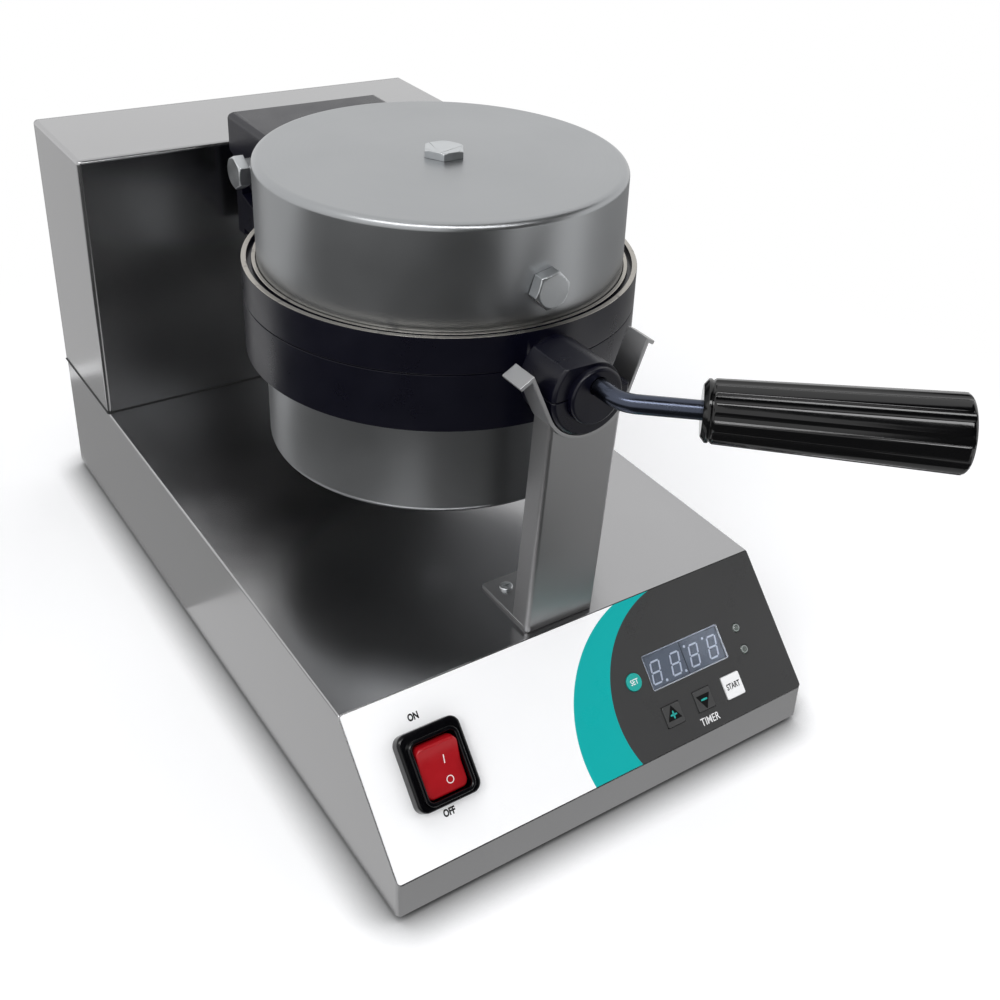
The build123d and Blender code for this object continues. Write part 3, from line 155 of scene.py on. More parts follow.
sweep = add_node(tree, "ShaderNodeMixShader", {0: share.outputs[0], 1: near.outputs[0],
                 2: far.outputs[0]})
tree.links.new(sweep.outputs[0], tree.nodes["Material Output"].inputs["Surface"])
floor.data.materials.append(paper)

# Three soft lamps, aimed at the machine: the key on the left, a weaker fill on the right and one
# over the top. Shiny surfaces don't mirror them.
lamp_target = Vector((0.0, 0.0, 0.12))
for name, spot, size, watts in (
    ("key lamp", (-1.5, -1.1, 1.9), 1.4, 26.0),
    ("fill lamp", (1.7, -1.2, 1.3), 1.2, 9.0),
    ("top lamp", (0.1, 0.4, 2.2), 1.6, 14.0),
):
    lamp = bpy.data.lights.new(name, "AREA")
    lamp.size = size
    lamp.energy = watts
    stand = bpy.data.objects.new(name, lamp)
    bpy.context.scene.collection.objects.link(stand)
    stand.visible_glossy = False
    facing = (lamp_target - Vector(spot)).to_track_quat("-Z", "Y").to_matrix().to_4x4()
    stand.matrix_world = Matrix.Translation(spot) @ facing


# Cards that are seen by shiny surfaces alone, which mirror them: grey and dark ones on the table
# in front, on the left and on the right, a dark ceiling and wall in front, and a strip lamp high
# up on the left. They give the upright steel its dark and light fields.


def card(name, left, right, front, back, height, tone, strength=1.0):
    """A card that lies level at a height and that only shiny surfaces see."""
    deselect()
    bpy.ops.mesh.primitive_grid_add(x_subdivisions=2, y_subdivisions=2, size=1.0, location=(
        (left + right) / 2, (front + back) / 2, height))
    made = bpy.context.object
    made.name = name
    made.scale = (right - left, back - front, 1.0)
    bpy.ops.object.transform_apply(scale=True, location=False, rotation=False)
    made.visible_camera = made.visible_diffuse = made.visible_shadow = False
    made.visible_transmission = made.visible_volume_scatter = False
    finish = bpy.data.materials.new(name)
    finish.use_nodes = True
    tree = finish.node_tree
    glow = add_node(tree, "ShaderNodeEmission", {"Color": linear(tone), "Strength": strength})
    tree.links.new(glow.outputs[0], tree.nodes["Material Output"].inputs["Surface"])
    made.data.materials.append(finish)
    return made


for name, left, right, front, back, height, tone in (
    ("grey card under the lip", -0.14, 0.16, -0.225, -0.194, 0.002, "BEBEBE"),
    ("grey card at the front", -0.13, 0.32, -0.6, -0.2, 0.0015, "A0A0A0"),
    ("dark card at the front", -0.24, 0.09, -2.2, -0.235, 0.003, "4C4C4C"),
    ("dark card on the left", -1.3, -0.235, -2.2, 0.25, 0.003, "4C4C4C"),
    ("dark card further back", -1.3, -0.36, 0.25, 0.36, 0.003, "4C4C4C"),
    ("grey card by the side", -0.235, -0.127, -0.24, 0.07, 0.0015, "DCDCDC"),
    ("grey card by the back", -0.235, -0.127, 0.07, 0.38, 0.0015, "ACACAC"),
    ("grey card by the tower", -0.8, -0.127, 0.4, 1.1, 0.001, "D0D0D0"),
    ("grey card on the right", 0.42, 1.3, -0.4, 0.7, 0.003, "989898"),
    ("dark ceiling in front", -0.9, 2.4, -2.4, -0.1, 1.75, "181818"),
):
    card(name, left, right, front, back, height, tone)
wall = card("dark wall in front", left=-1.6, right=1.6, front=-0.9, back=0.9, height=0.0,
            tone="282828")
wall.location = (0.5, -2.2, 0.9)
wall.rotation_euler = (math.pi / 2, 0.0, 0.0)
strip = card("strip lamp above the shot", left=-1.1, right=1.1, front=-0.2, back=0.2,
             height=0.0, tone="FFFFFF", strength=8.0)
strip.location = (-0.45, -0.88, 1.6)
strip.rotation_euler = (0.0, 0.0, -0.69)

# Base and tower housings: stainless sheet 1.2 mm, cut, folded, welded at the corners and brushed
# with a fine belt, front to back over the top, down the slope and along the sides. It looks like
# a grey mirror, blurred across the grain. The tower stands on the base with screwed flanges.
gloss_drift = 0.12
gloss_grain = 0.2

# A fine belt's lines lie about 0.1 mm apart, too fine to show, so they are drawn coarser.
belt_line_mm = 0.3
belt_stretch = 0.012
side_from = 0.7
merge_gap = 0.002 * mm
flat_within = math.radians(0.4)
sharp_from = math.radians(38.0)


def surface(name, colour, roughness, metallic=0.0, clouds=0.06, cloud_mm=30.0, grain_mm=0.6,
            relief_mm=0.01, stretch=(1.0, 1.0, 1.0), gleam=0.5):
    """A finish whose tone and gloss drift a little, with a fine grain in relief."""
    made = bpy.data.materials.new(name)
    made.use_nodes = True
    tree = made.node_tree
    body = tree.nodes["Principled BSDF"]
    place = add_node(tree, "ShaderNodeTexCoord").outputs["Object"]
    drift = add_node(tree, "ShaderNodeTexNoise", {"Vector": place, "Scale": 1 / (cloud_mm * mm),
                     "Detail": 3.0}).outputs["Fac"]
    base = linear(colour)
    low = [c * (1 - clouds) for c in base[:3]] + [1.0]
    high = [min(1.0, c * (1 + clouds)) for c in base[:3]] + [1.0]
    tone = add_node(tree, "ShaderNodeMix", {0: drift, first_colour: low, second_colour: high},
                    data_type="RGBA")
    tree.links.new(tone.outputs[mixed_colour], body.inputs["Base Color"])
    spread = add_node(tree, "ShaderNodeMapRange", {
        "Value": drift, "From Min": 0.3, "From Max": 0.7,
        "To Min": roughness * (1 - gloss_drift), "To Max": roughness * (1 + gloss_drift)})
    along = add_node(tree, "ShaderNodeMapping", {"Vector": place, "Scale": stretch})
    grain = add_node(tree, "ShaderNodeTexNoise", {"Vector": along.outputs[0],
                     "Scale": 1 / (grain_mm * mm), "Detail": 4.0, "Roughness": 0.6})
    fine = add_node(tree, "ShaderNodeMath", {0: grain.outputs["Fac"], 1: roughness * gloss_grain,
                    2: spread.outputs[0]}, operation="MULTIPLY_ADD")
    centred = add_node(tree, "ShaderNodeMath", {0: fine.outputs[0],
                       1: roughness * gloss_grain / 2}, operation="SUBTRACT")
    tree.links.new(centred.outputs[0], body.inputs["Roughness"])
    bump = add_node(tree, "ShaderNodeBump", {"Height": grain.outputs["Fac"], "Strength": 1.0,
                    "Distance": relief_mm * mm})
    tree.links.new(bump.outputs[0], body.inputs["Normal"])
    body.inputs["Metallic"].default_value = metallic
    body.inputs["Specular IOR Level"].default_value = gleam
    tone.name = "tone"
    along.name = "stretch"
    grain.name = "grain"
    return made


def brushed(name, colour, roughness):
    """Brushed steel: its lines run front to back on top and sides, and upright on the front."""
    made = surface(name, colour, roughness, metallic=1.0, clouds=0.05, cloud_mm=60.0,
                   grain_mm=belt_line_mm, relief_mm=0.0016,
                   stretch=(1.0, belt_stretch, belt_stretch))
    tree = made.node_tree
    coords = add_node(tree, "ShaderNodeTexCoord")
    lean = add_node(tree, "ShaderNodeSeparateXYZ", {0: coords.outputs["Normal"]})
    side = add_node(tree, "ShaderNodeMath", {0: lean.outputs["X"]}, operation="ABSOLUTE")
    is_side = add_node(tree, "ShaderNodeMath", {0: side.outputs[0], 1: side_from},
                       operation="GREATER_THAN")
    along_side = add_node(tree, "ShaderNodeMapping", {"Vector": coords.outputs["Object"],
                          "Scale": (belt_stretch, belt_stretch, 1.0)})
    first_vector, second_vector, mixed_vector = 4, 5, 1
    lines = add_node(tree, "ShaderNodeMix", {
        0: is_side.outputs[0], first_vector: tree.nodes["stretch"].outputs[0],
        second_vector: along_side.outputs[0]}, data_type="VECTOR")
    tree.links.new(lines.outputs[mixed_vector], tree.nodes["grain"].inputs["Vector"])
    return made


def take(piece):
    """Select one piece alone and make it the active one."""
    deselect()
    piece.select_set(True)
    bpy.context.view_layer.objects.active = piece


def pick(piece, kind, wanted):
    """In edit mode, select the faces, edges or corners for which wanted() is true."""
    bpy.ops.mesh.select_mode(type=kind)
    bpy.ops.mesh.select_all(action="DESELECT")
    shape = bmesh.from_edit_mesh(piece.data)
    for item in {"FACE": shape.faces, "EDGE": shape.edges, "VERT": shape.verts}[kind]:
        if wanted(item):
            item.select_set(True)
    shape.select_flush_mode()
    bmesh.update_edit_mesh(piece.data)


def outward():
    """In edit mode, turn every face to look outwards."""
    bpy.ops.mesh.select_all(action="SELECT")
    bpy.ops.mesh.normals_make_consistent(inside=False)


def copy_of(piece):
    """A copy of a piece with a mesh of its own."""
    made = piece.copy()
    made.data = piece.data.copy()
    bpy.context.scene.collection.objects.link(made)
    return made


def finish_piece(piece, name, finish, body, smooth=32.0):
    """Fix a piece's place in its mesh, smooth its rounds, and give it finish and body."""
    take(piece)
    bpy.ops.object.transform_apply(location=True, rotation=True, scale=True)
    bpy.ops.object.shade_smooth_by_angle(angle=math.radians(smooth))
    piece.name = piece.data.name = name
    even = piece.modifiers.new("even shading", "WEIGHTED_NORMAL")
    even.keep_sharp = True
    bpy.ops.object.modifier_apply(modifier=even.name)
    piece.data.materials.clear()
    piece.data.materials.append(finish)
    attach(piece, body)


def recast(node, name, finish, body, rounded):
    """A detailed piece from a copy of a solid's mesh: merged, flats made whole, edges rounded."""
    piece = copy_of(cad[node])
    piece.parent = None
    for key in list(piece.keys()):
        del piece[key]
    take(piece)
    bpy.ops.object.mode_set(mode="EDIT")
    bpy.ops.mesh.select_all(action="SELECT")
    bpy.ops.mesh.remove_doubles(threshold=merge_gap)
    bpy.ops.mesh.dissolve_limited(angle_limit=flat_within)
    outward()
    if rounded:
        pick(piece, "EDGE", lambda e: len(e.link_faces) == 2 and e.is_convex
             and e.calc_face_angle() > sharp_from)
        bpy.ops.mesh.bevel(offset=rounded * mm, segments=2, profile=0.5, affect="EDGES",
                           clamp_overlap=False)
    bpy.ops.object.mode_set(mode="OBJECT")
    finish_piece(piece, name, finish, body)
    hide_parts(node)


def dress(finish, *names):
    """Give solids that stay as they are their finish."""
    for name in names:
        for slot in cad[name].material_slots:
            slot.material = finish


steel_sheet = brushed("stainless steel, brushed", "ACACAD", 0.22)
recast("base_housing", "base_shell", steel_sheet, "base", rounded=0.25)
recast("tower_housing", "tower_shell", steel_sheet, "base", rounded=0.25)
recast("tower_back_cover", "tower_back", steel_sheet, "base", rounded=0.2)

# Post and saddle: stainless strip 2 mm, bent to an upright channel and to the cradle that the
# head's journal rests in. The post is screwed to the base by its foot. The strip is satin, with
# a softer mirror than the sheet's.
steel_strip = brushed("stainless steel strip, satin", "ACACAD", 0.36)
recast("support_post", "post", steel_strip, "base", rounded=0.3)
recast("support_saddle", "saddle", steel_strip, "base", rounded=0.4)

# Painted shade in the seam: a thin dark bead round the tower's foot, front and both sides, pressed
# into the corner between the tower and the base, stands for the shade in the gap there. It is dull
# and a little uneven.
bead_radius = 0.55
bead_level = 81.6
bead_runs = ((0.0, 177.4, 250.0, 90.0), (-125.1, 219.3, 83.5, 0.0), (125.1, 219.3, 83.5, 0.0))
# The bead's dark colour is painted shade for the gap between the tower and the base.
seam_shade_finish = surface("dark bead, painted seam shade", "101011", 0.5, clouds=0.1, cloud_mm=8.0)
for number, (x, y, length, turned) in enumerate(bead_runs, 1):
    deselect()
    bpy.ops.mesh.primitive_cylinder_add(
        vertices=12, radius=bead_radius * mm, depth=length * mm,
        location=(x * mm, y * mm, bead_level * mm),
        rotation=(math.pi / 2, 0.0, math.radians(turned)))
    finish_piece(bpy.context.object, "seam_shade_bead_" + str(number), seam_shade_finish, "base")

# Bottom plate, bearing frame and heater clamps: galvanised sheet, cut and folded, out of sight
# in use. It is dull grey with a fine spangle.
galvanised = surface("steel sheet, galvanised", "9EA3A6", 0.45, metallic=0.9, clouds=0.16,
                     cloud_mm=9.0, grain_mm=0.8, relief_mm=0.004)
dress(galvanised, "base_bottom_plate", "bearing_frame", "upper_heater_clamp",
      "lower_heater_clamp")

# Screws, bolts, nuts, standoffs and spacers: bought-in steel, zinc plated. They are pale with a
# faint blue, a satin mirror with small clouds. The large heads have rounded edges.
zinc = surface("steel, zinc plated", "C6C9CB", 0.36, metallic=1.0, clouds=0.1, cloud_mm=6.0,
               grain_mm=0.5, relief_mm=0.006)
dress(zinc, "bottom_screws", "foot_screws", "tower_screws", "frame_bolts", "post_screws",
      "board_standoffs", "board_nuts", "flange_bolts", "bracket_screws", "hinge_spacers",
      "upper_clamp_nuts", "lower_clamp_nuts")
recast("upper_cover_bolt", "top_bolt", zinc, "lid", rounded=0.25)
recast("lower_cover_bolt", "bottom_bolt", zinc, "head", rounded=0.25)
recast("side_bolt", "probe_bolt", zinc, "lid", rounded=0.3)
recast("hinge_bolts", "hinge_pins", zinc, "head", rounded=0.3)

# Shaft, collar, stop pins and set screw: turned steel, browned by oil and heat. The bushes that
# the shaft turns in are bearing bronze, turned too.
dark_steel = surface("steel, turned and oiled", "6E6A66", 0.35, metallic=1.0, clouds=0.15,
                     cloud_mm=8.0, grain_mm=0.4, relief_mm=0.006)
dress(dark_steel, "pivot_shaft", "shaft_collar", "stop_pins", "rod_set_screw")
bronze = surface("bearing bronze, turned", "A9743C", 0.34, metallic=1.0, clouds=0.12,
                 cloud_mm=7.0, grain_mm=0.4, relief_mm=0.006)
dress(bronze, "shaft_bushes")

# Feet: black nitrile rubber, moulded, each held by a screw up its middle. They are matt, with
# the slight grain of the mould.
rubber = surface("black rubber, moulded", "1A1A1B", 0.72, clouds=0.1, cloud_mm=8.0,
                 grain_mm=0.5, relief_mm=0.02)
dress(rubber, "rubber_feet")

# Rings, hinge cap and bracket: cast aluminium under a blue-black non-stick enamel with a soft
# shine. The raised rims are worn to pale metal in broken patches, where the covers are lifted
# off and wiped.
head_centre = Vector((0.0, -12.428, 220.0)) * mm
rim_reach, rim_band = 97.0, 4.0
rim_levels = ((19.2, 1.2), (-30.0, 0.6))
level_from, level_to = 0.35, 0.75
patch_mm = 7.0
patch_from, patch_to = 0.22, 0.4
bare_metal = "ADA9A2"


def from_head(tree):
    """A point's distance from the head's upright axis, and its height over the head's middle."""
    place = add_node(tree, "ShaderNodeTexCoord").outputs["Object"]
    out = add_node(tree, "ShaderNodeVectorMath", {0: place, 1: head_centre},
                   operation="SUBTRACT").outputs[0]
    level = add_node(tree, "ShaderNodeVectorMath", {0: out, 1: (1.0, 1.0, 0.0)},
                     operation="MULTIPLY").outputs[0]
    reach = add_node(tree, "ShaderNodeVectorMath", {0: level}, operation="LENGTH")
    rise = add_node(tree, "ShaderNodeSeparateXYZ", {0: out})
    return reach.outputs["Value"], rise.outputs["Z"]


enamel = surface("cast aluminium, black enamel", "060614", 0.3, clouds=0.25, cloud_mm=18.0,
                 grain_mm=0.9, relief_mm=0.012, gleam=0.36)
tree = enamel.node_tree
reach, rise = from_head(tree)
coords = add_node(tree, "ShaderNodeTexCoord")
at_rim = add_node(tree, "ShaderNodeMath", {0: reach, 1: rim_reach * mm, 2: rim_band * mm},
                  operation="COMPARE").outputs[0]
rims = []
for height, band in rim_levels:
    at_level = add_node(tree, "ShaderNodeMath", {0: rise, 1: height * mm, 2: band * mm},
                        operation="COMPARE").outputs[0]
    rims.append(add_node(tree, "ShaderNodeMath", {0: at_rim, 1: at_level},
                         operation="MULTIPLY").outputs[0])
rubbed = add_node(tree, "ShaderNodeMath", {0: rims[0], 1: rims[1]},
                  operation="MAXIMUM").outputs[0]
tilt = add_node(tree, "ShaderNodeSeparateXYZ", {0: coords.outputs["Normal"]}).outputs["Z"]
how_level = add_node(tree, "ShaderNodeMath", {0: tilt}, operation="ABSOLUTE").outputs[0]
flat_part = add_node(tree, "ShaderNodeMapRange", {"Value": how_level, "From Min": level_from,
                     "From Max": level_to}).outputs[0]
patches = add_node(tree, "ShaderNodeTexNoise", {"Vector": coords.outputs["Object"],
                   "Scale": 1 / (patch_mm * mm), "Detail": 5.0}).outputs["Fac"]
broken = add_node(tree, "ShaderNodeMapRange", {"Value": patches, "From Min": patch_from,
                  "From Max": patch_to}).outputs[0]
worn = rubbed
for limit in (flat_part, broken):
    worn = add_node(tree, "ShaderNodeMath", {0: worn, 1: limit}, operation="MULTIPLY").outputs[0]
coat = tree.nodes["Principled BSDF"]
bare = add_node(tree, "ShaderNodeMix", {
    0: worn, first_colour: tree.nodes["tone"].outputs[mixed_colour],
    second_colour: linear(bare_metal)}, data_type="RGBA")
tree.links.new(bare.outputs[mixed_colour], coat.inputs["Base Color"])
tree.links.new(worn, coat.inputs["Metallic"])
recast("upper_ring", "upper_casting", enamel, "lid", rounded=0.5)
recast("lower_ring", "lower_casting", enamel, "head", rounded=0.5)
recast("hinge_bracket", "hinge_arm", enamel, "head", rounded=0.2)

# Baking plates: cast iron, ground on the rim and seasoned dark brown by oil. Their sheen is low
# and cloudy over the grain of the casting.
iron = surface("cast iron, seasoned", "2B2522", 0.5, metallic=0.35, clouds=0.3, cloud_mm=12.0,
               grain_mm=0.7, relief_mm=0.03)
recast("upper_grid", "upper_plate", iron, "lid", rounded=0.4)
recast("lower_grid", "lower_plate", iron, "head", rounded=0.4)

# Behind the plates: bent heater tubes, sheathed in steel that the heat has tinted brown, under
# pads of mineral wool, dull yellow grey and rough with fibres.
heater_skin = surface("heater sheath, heat tinted", "6A5E58", 0.42, metallic=1.0, clouds=0.3,
                      cloud_mm=10.0, grain_mm=0.5, relief_mm=0.006)
dress(heater_skin, "upper_heater", "lower_heater")
wool = surface("mineral wool", "A39B7C", 0.95, clouds=0.25, cloud_mm=5.0, grain_mm=1.2,
               relief_mm=0.5)
dress(wool, "upper_insulation", "lower_insulation")

# Covers: stainless sheet 1 mm, spun to a flat drum with a rolled edge and brushed as it turned,
# each held by one bolt through its middle. The spun grain is fine and runs in rings, so that
# the top is an even satin grey.
cover_foot = 16.05
cover_edge = 3.6
cover_sheet = 1.0
bolt_hole = 5.3
top_rings = (0.6, 30.0, 40.0)
hair = 0.01

# The spun rings too are drawn coarser than they are, so that they show.
spun_line_mm = 0.5
spun_steel = surface("stainless steel, spun", "A4A6A8", 0.34, metallic=1.0, clouds=0.03,
                     cloud_mm=60.0, grain_mm=spun_line_mm, relief_mm=0.0003)
tree = spun_steel.node_tree
reach, rise = from_head(tree)
rounds = add_node(tree, "ShaderNodeCombineXYZ", {0: reach, 1: rise})
tree.links.new(rounds.outputs[0], tree.nodes["grain"].inputs["Vector"])


def spun_cover(name, node, body, radius, top, side):
    """A drum from a cylinder: open at its foot, its top rolled over, with a hole for its bolt.

    The side is 1 for the cover on top of the head and -1 for the one below it.
    """
    tall = top - cover_foot
    deselect()
    bpy.ops.mesh.primitive_cylinder_add(
        vertices=160, radius=radius * mm, depth=tall * mm, end_fill_type="NGON",
        location=head_centre + Vector((0, 0, side * (cover_foot + top) / 2 * mm)),
        rotation=(0 if side > 0 else math.pi, 0, 0))
    piece = bpy.context.object
    bpy.ops.object.mode_set(mode="EDIT")
    pick(piece, "FACE", lambda f: f.normal.z < -0.9)
    bpy.ops.mesh.delete(type="FACE")
    pick(piece, "EDGE", lambda e: all(v.co.z > (tall / 2 - hair) * mm for v in e.verts))
    bpy.ops.mesh.bevel(offset=cover_edge * mm, segments=7, profile=0.5, affect="EDGES")
    pick(piece, "FACE", lambda f: len(f.verts) > 4)
    for step in (*top_rings, radius - cover_edge - sum(top_rings) - bolt_hole):
        bpy.ops.mesh.inset(thickness=step * mm)
    bpy.ops.mesh.delete(type="FACE")
    bpy.ops.object.mode_set(mode="OBJECT")
    wrought = piece.modifiers.new("sheet", "SOLIDIFY")
    wrought.thickness = cover_sheet * mm
    wrought.offset = -1.0
    bpy.ops.object.modifier_apply(modifier=wrought.name)
    finish_piece(piece, name, spun_steel, body)
    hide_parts(node)


spun_cover("upper_drum", "upper_cover", "lid", radius=93.0, top=70.3, side=1)
spun_cover("lower_drum", "lower_cover", "head", radius=90.6, top=82.6, side=-1)

# Handle: a steel rod, bent once, blackened and polished to a blue-grey sheen, and on it a grip
# of black phenolic resin, moulded with ten flutes and polished to a high gloss.
rod_finish = surface("steel rod, blackened and polished", "4A4F5C", 0.24, metallic=1.0,
                     clouds=0.12, cloud_mm=10.0, grain_mm=0.5, relief_mm=0.004)
recast("handle_rod", "handle_bar", rod_finish, "lid", rounded=0)
phenolic = surface("phenolic resin, moulded and polished", "070708", 0.12, clouds=0.2,
                   cloud_mm=15.0, grain_mm=0.8, relief_mm=0.004)
recast("handle_grip", "grip", phenolic, "lid", rounded=0.35)

# Panel film: polycarbonate 0.5 mm, glued to the slope and printed on its back, so that the ink
# has a soft plastic shine. A teal disc lies on the white, and on that the dark grey field: a
# smaller disc, and all that is right of its middle.
film = 0.5
panel_tilt = math.atan2(57.6, 56.1)
panel_turn = Matrix.Rotation(panel_tilt, 4, "X")
panel_top = Vector((0.0, -136.828, 81.5)) * mm
teal_disc = (52.7, 66.1, 69.1)
dark_disc = (67.1, 56.8, 57.7)


def on_panel(x, down, lift):
    """A place on the slope: down mm below the fold, lift mm out from the sheet."""
    spot = panel_turn @ Vector((x * mm, -down * mm, lift * mm))
    return Matrix.Translation(panel_top + spot) @ panel_turn


print_film = surface("polycarbonate film, printed", "FFFFFF", 0.3, clouds=0.01, cloud_mm=40.0,
                     grain_mm=0.5, relief_mm=0.003, gleam=0.25)
tree = print_film.node_tree
place = add_node(tree, "ShaderNodeTexCoord").outputs["Object"]
discs = []
for x, down, radius in (teal_disc, dark_disc):
    middle = on_panel(x, down, film).translation
    away = add_node(tree, "ShaderNodeVectorMath", {0: place, 1: middle},
                    operation="DISTANCE").outputs["Value"]
    discs.append(add_node(tree, "ShaderNodeMath", {0: away, 1: radius * mm},
                          operation="LESS_THAN").outputs[0])
across = add_node(tree, "ShaderNodeSeparateXYZ", {0: place}).outputs["X"]
right_end = add_node(tree, "ShaderNodeMath", {0: across, 1: dark_disc[0] * mm},
                     operation="GREATER_THAN").outputs[0]
dark_field = add_node(tree, "ShaderNodeMath", {0: discs[1], 1: right_end},
                      operation="MAXIMUM").outputs[0]
white_and_teal = add_node(tree, "ShaderNodeMix", {
    0: discs[0], first_colour: linear("FFFFFF"), second_colour: linear("04AEAC")},
    data_type="RGBA").outputs[mixed_colour]
ink = add_node(tree, "ShaderNodeMix", {
    0: dark_field, first_colour: white_and_teal, second_colour: linear("414141")},
    data_type="RGBA").outputs[mixed_colour]
tree.links.new(ink, tree.nodes["Principled BSDF"].inputs["Base Color"])
dress(print_film, "control_panel_film")

# Words on the film: plain condensed capitals, screen printed. Each is a thin layer of matt ink
# with a faint unevenness.
capital_share = 0.72
ink_layer = 0.015
ink_clear = 0.02


def printed(name, words, finish, x, down, height, squeeze, weight, body="base",
            lift=film):
    """Flat lettering, centred on a place of the slope, with its capitals that many mm high."""
    deselect()
    bpy.ops.object.text_add()
    text = bpy.context.object
    text.data.body = words
    text.data.align_x = "CENTER"
    text.data.align_y = "CENTER"
    text.data.size = height / capital_share * mm
    text.data.extrude = ink_layer * mm
    text.data.offset = weight * mm
    bpy.ops.object.convert(target="MESH")
    text = bpy.context.object
    text.matrix_world = on_panel(x, down, lift + ink_clear) @ Matrix.Diagonal((squeeze, 1, 1, 1))
    finish_piece(text, name, finish, body)


black_ink = surface("screen ink, black", "0A0A0A", 0.5, clouds=0.08, cloud_mm=3.0, grain_mm=0.3,
                    relief_mm=0.002, gleam=0.2)
white_ink = surface("screen ink, white", "F2F2F2", 0.5, clouds=0.03, cloud_mm=3.0, grain_mm=0.3,
                    relief_mm=0.002)
printed("word_on", "ON", black_ink, x=-91.6, down=13.5, height=3.3, squeeze=0.76, weight=0.2)
printed("word_off", "OFF", black_ink, x=-90.5, down=59.9, height=3.3, squeeze=0.76, weight=0.2)
printed("word_timer", "TIMER", white_ink, x=61.6, down=74.6, height=4.1, squeeze=0.8, weight=0.03)

# Display: a window of clear acrylic over two bought-in blocks of two digits each, unlit. Their
# segments are white plastic bars and points that stand pale against the grey epoxy.
digit_places = (42.0, 55.1, 68.0, 80.7)
digit_down = 41.1
digit_slant = 0.2
digit_half_height = 5.6
digit_half_width = 2.75
bar_radius = 0.55
bar_reach = 1.95
bar_thick = 0.08
bar_lift = -1.39
point_radius = 0.75
point_thick = 0.12
point_lift = -1.34
point_places = ((46.5, 47.0), (59.6, 46.8), (63.7, 34.9), (76.3, 34.9))

acrylic = surface("acrylic, clear", "DCE2EC", 0.05, clouds=0.01, cloud_mm=20.0, grain_mm=0.8,
                  relief_mm=0.001)
clear_sheet = acrylic.node_tree.nodes["Principled BSDF"]
clear_sheet.inputs["Transmission Weight"].default_value = 1.0
clear_sheet.inputs["IOR"].default_value = 1.49
dress(acrylic, "display_window")
epoxy = surface("display block, grey epoxy", "6F747C", 0.4, clouds=0.08, cloud_mm=6.0,
                grain_mm=0.5, relief_mm=0.005)
dress(epoxy, "display_module")
segment_white = surface("display segment, unlit", "FBFCFF", 0.45, clouds=0.05, cloud_mm=3.0,
                        grain_mm=0.4, relief_mm=0.002)


def thicken(height):
    """In edit mode, draw a flat shape up to a height in mm."""
    bpy.ops.mesh.select_all(action="SELECT")
    bpy.ops.mesh.extrude_region_move(TRANSFORM_OT_translate={"value": (0, 0, height * mm)})


def flat_bar(corners, radius, reach, height):
    """A flat bar along Y: a disc with few corners, whose two halves are drawn apart."""
    deselect()
    bpy.ops.mesh.primitive_circle_add(vertices=corners, radius=radius * mm, fill_type="NGON")
    bar = bpy.context.object
    bpy.ops.object.mode_set(mode="EDIT")
    for end in (1, -1):
        pick(bar, "VERT", lambda v: end * v.co.y > 0.1 * radius * mm)
        bpy.ops.transform.translate(value=(0, end * reach * mm, 0))
    thicken(height)
    bpy.ops.object.mode_set(mode="OBJECT")
    return bar


def join(pieces):
    """Make several pieces one, with their places in its mesh."""
    deselect()
    for piece in pieces:
        piece.select_set(True)
    bpy.context.view_layer.objects.active = pieces[0]
    bpy.ops.object.transform_apply(location=True, rotation=True, scale=True)
    if len(pieces) > 1:
        bpy.ops.object.join()
    return bpy.context.object


bar = flat_bar(corners=6, radius=bar_radius, reach=bar_reach, height=bar_thick)
slanted = Matrix(((1, digit_slant, 0, 0), (0, 1, 0, 0), (0, 0, 1, 0), (0, 0, 0, 1)))
upright = Matrix.Identity(4)
lying = Matrix.Rotation(math.pi / 2, 4, "Z")
digit_bars = [(0, up * digit_half_height, lying) for up in (1, 0, -1)]
digit_bars += [(side * digit_half_width, up * digit_half_height / 2, upright)
               for up in (1, -1) for side in (-1, 1)]
segments = []
for digit_x in digit_places:
    for x, y, turned in digit_bars:
        made = copy_of(bar)
        made.data.transform(slanted @ Matrix.Translation((x * mm, y * mm, 0)) @ turned)
        made.matrix_world = on_panel(digit_x, digit_down, bar_lift)
        segments.append(made)
deselect()
bpy.ops.mesh.primitive_cylinder_add(vertices=16, radius=point_radius * mm,
                                    depth=point_thick * mm)
point = bpy.context.object
for x, down in point_places:
    made = copy_of(point)
    made.matrix_world = on_panel(x, down, point_lift)
    segments.append(made)
for pattern in (bar, point):
    bpy.data.objects.remove(pattern)
finish_piece(join(segments), "display_segments", segment_white, "base")

# Keys: moulded nylon caps, dark grey, white and teal, that stand through the film, each on its
# own switch. They are satin. Their words and arrows are printed on.
key_face = 1.2
arrow_radius = 5.2
arrow_corner = 0.3
arrow_thick = 0.03
arrow_clear = 0.01
stroke_radius = 0.55
stroke_reach = 1.6
stroke_clear = 0.05

key_dark = surface("key cap, dark grey", "414141", 0.42, clouds=0.08, cloud_mm=6.0,
                   grain_mm=0.4, relief_mm=0.006)
dress(key_dark, "up_key", "down_key")
key_white = surface("key cap, white", "F4F4F4", 0.42, clouds=0.02, cloud_mm=6.0, grain_mm=0.4,
                    relief_mm=0.006)
dress(key_white, "start_key")
key_teal = surface("key cap, teal", "12A79E", 0.42, clouds=0.05, cloud_mm=6.0, grain_mm=0.4,
                   relief_mm=0.006)
dress(key_teal, "set_key")
teal_ink = surface("screen ink, teal", "12A79E", 0.5, clouds=0.05, cloud_mm=3.0, grain_mm=0.3,
                   relief_mm=0.002)
printed("word_start", "START", black_ink, x=82.5, down=63.9, height=3.2, squeeze=0.7,
        weight=0.09, body="start_button", lift=key_face)
printed("word_set", "SET", white_ink, x=26.1, down=41.0, height=2.9, squeeze=0.78,
        weight=0.04, body="set_button", lift=key_face)


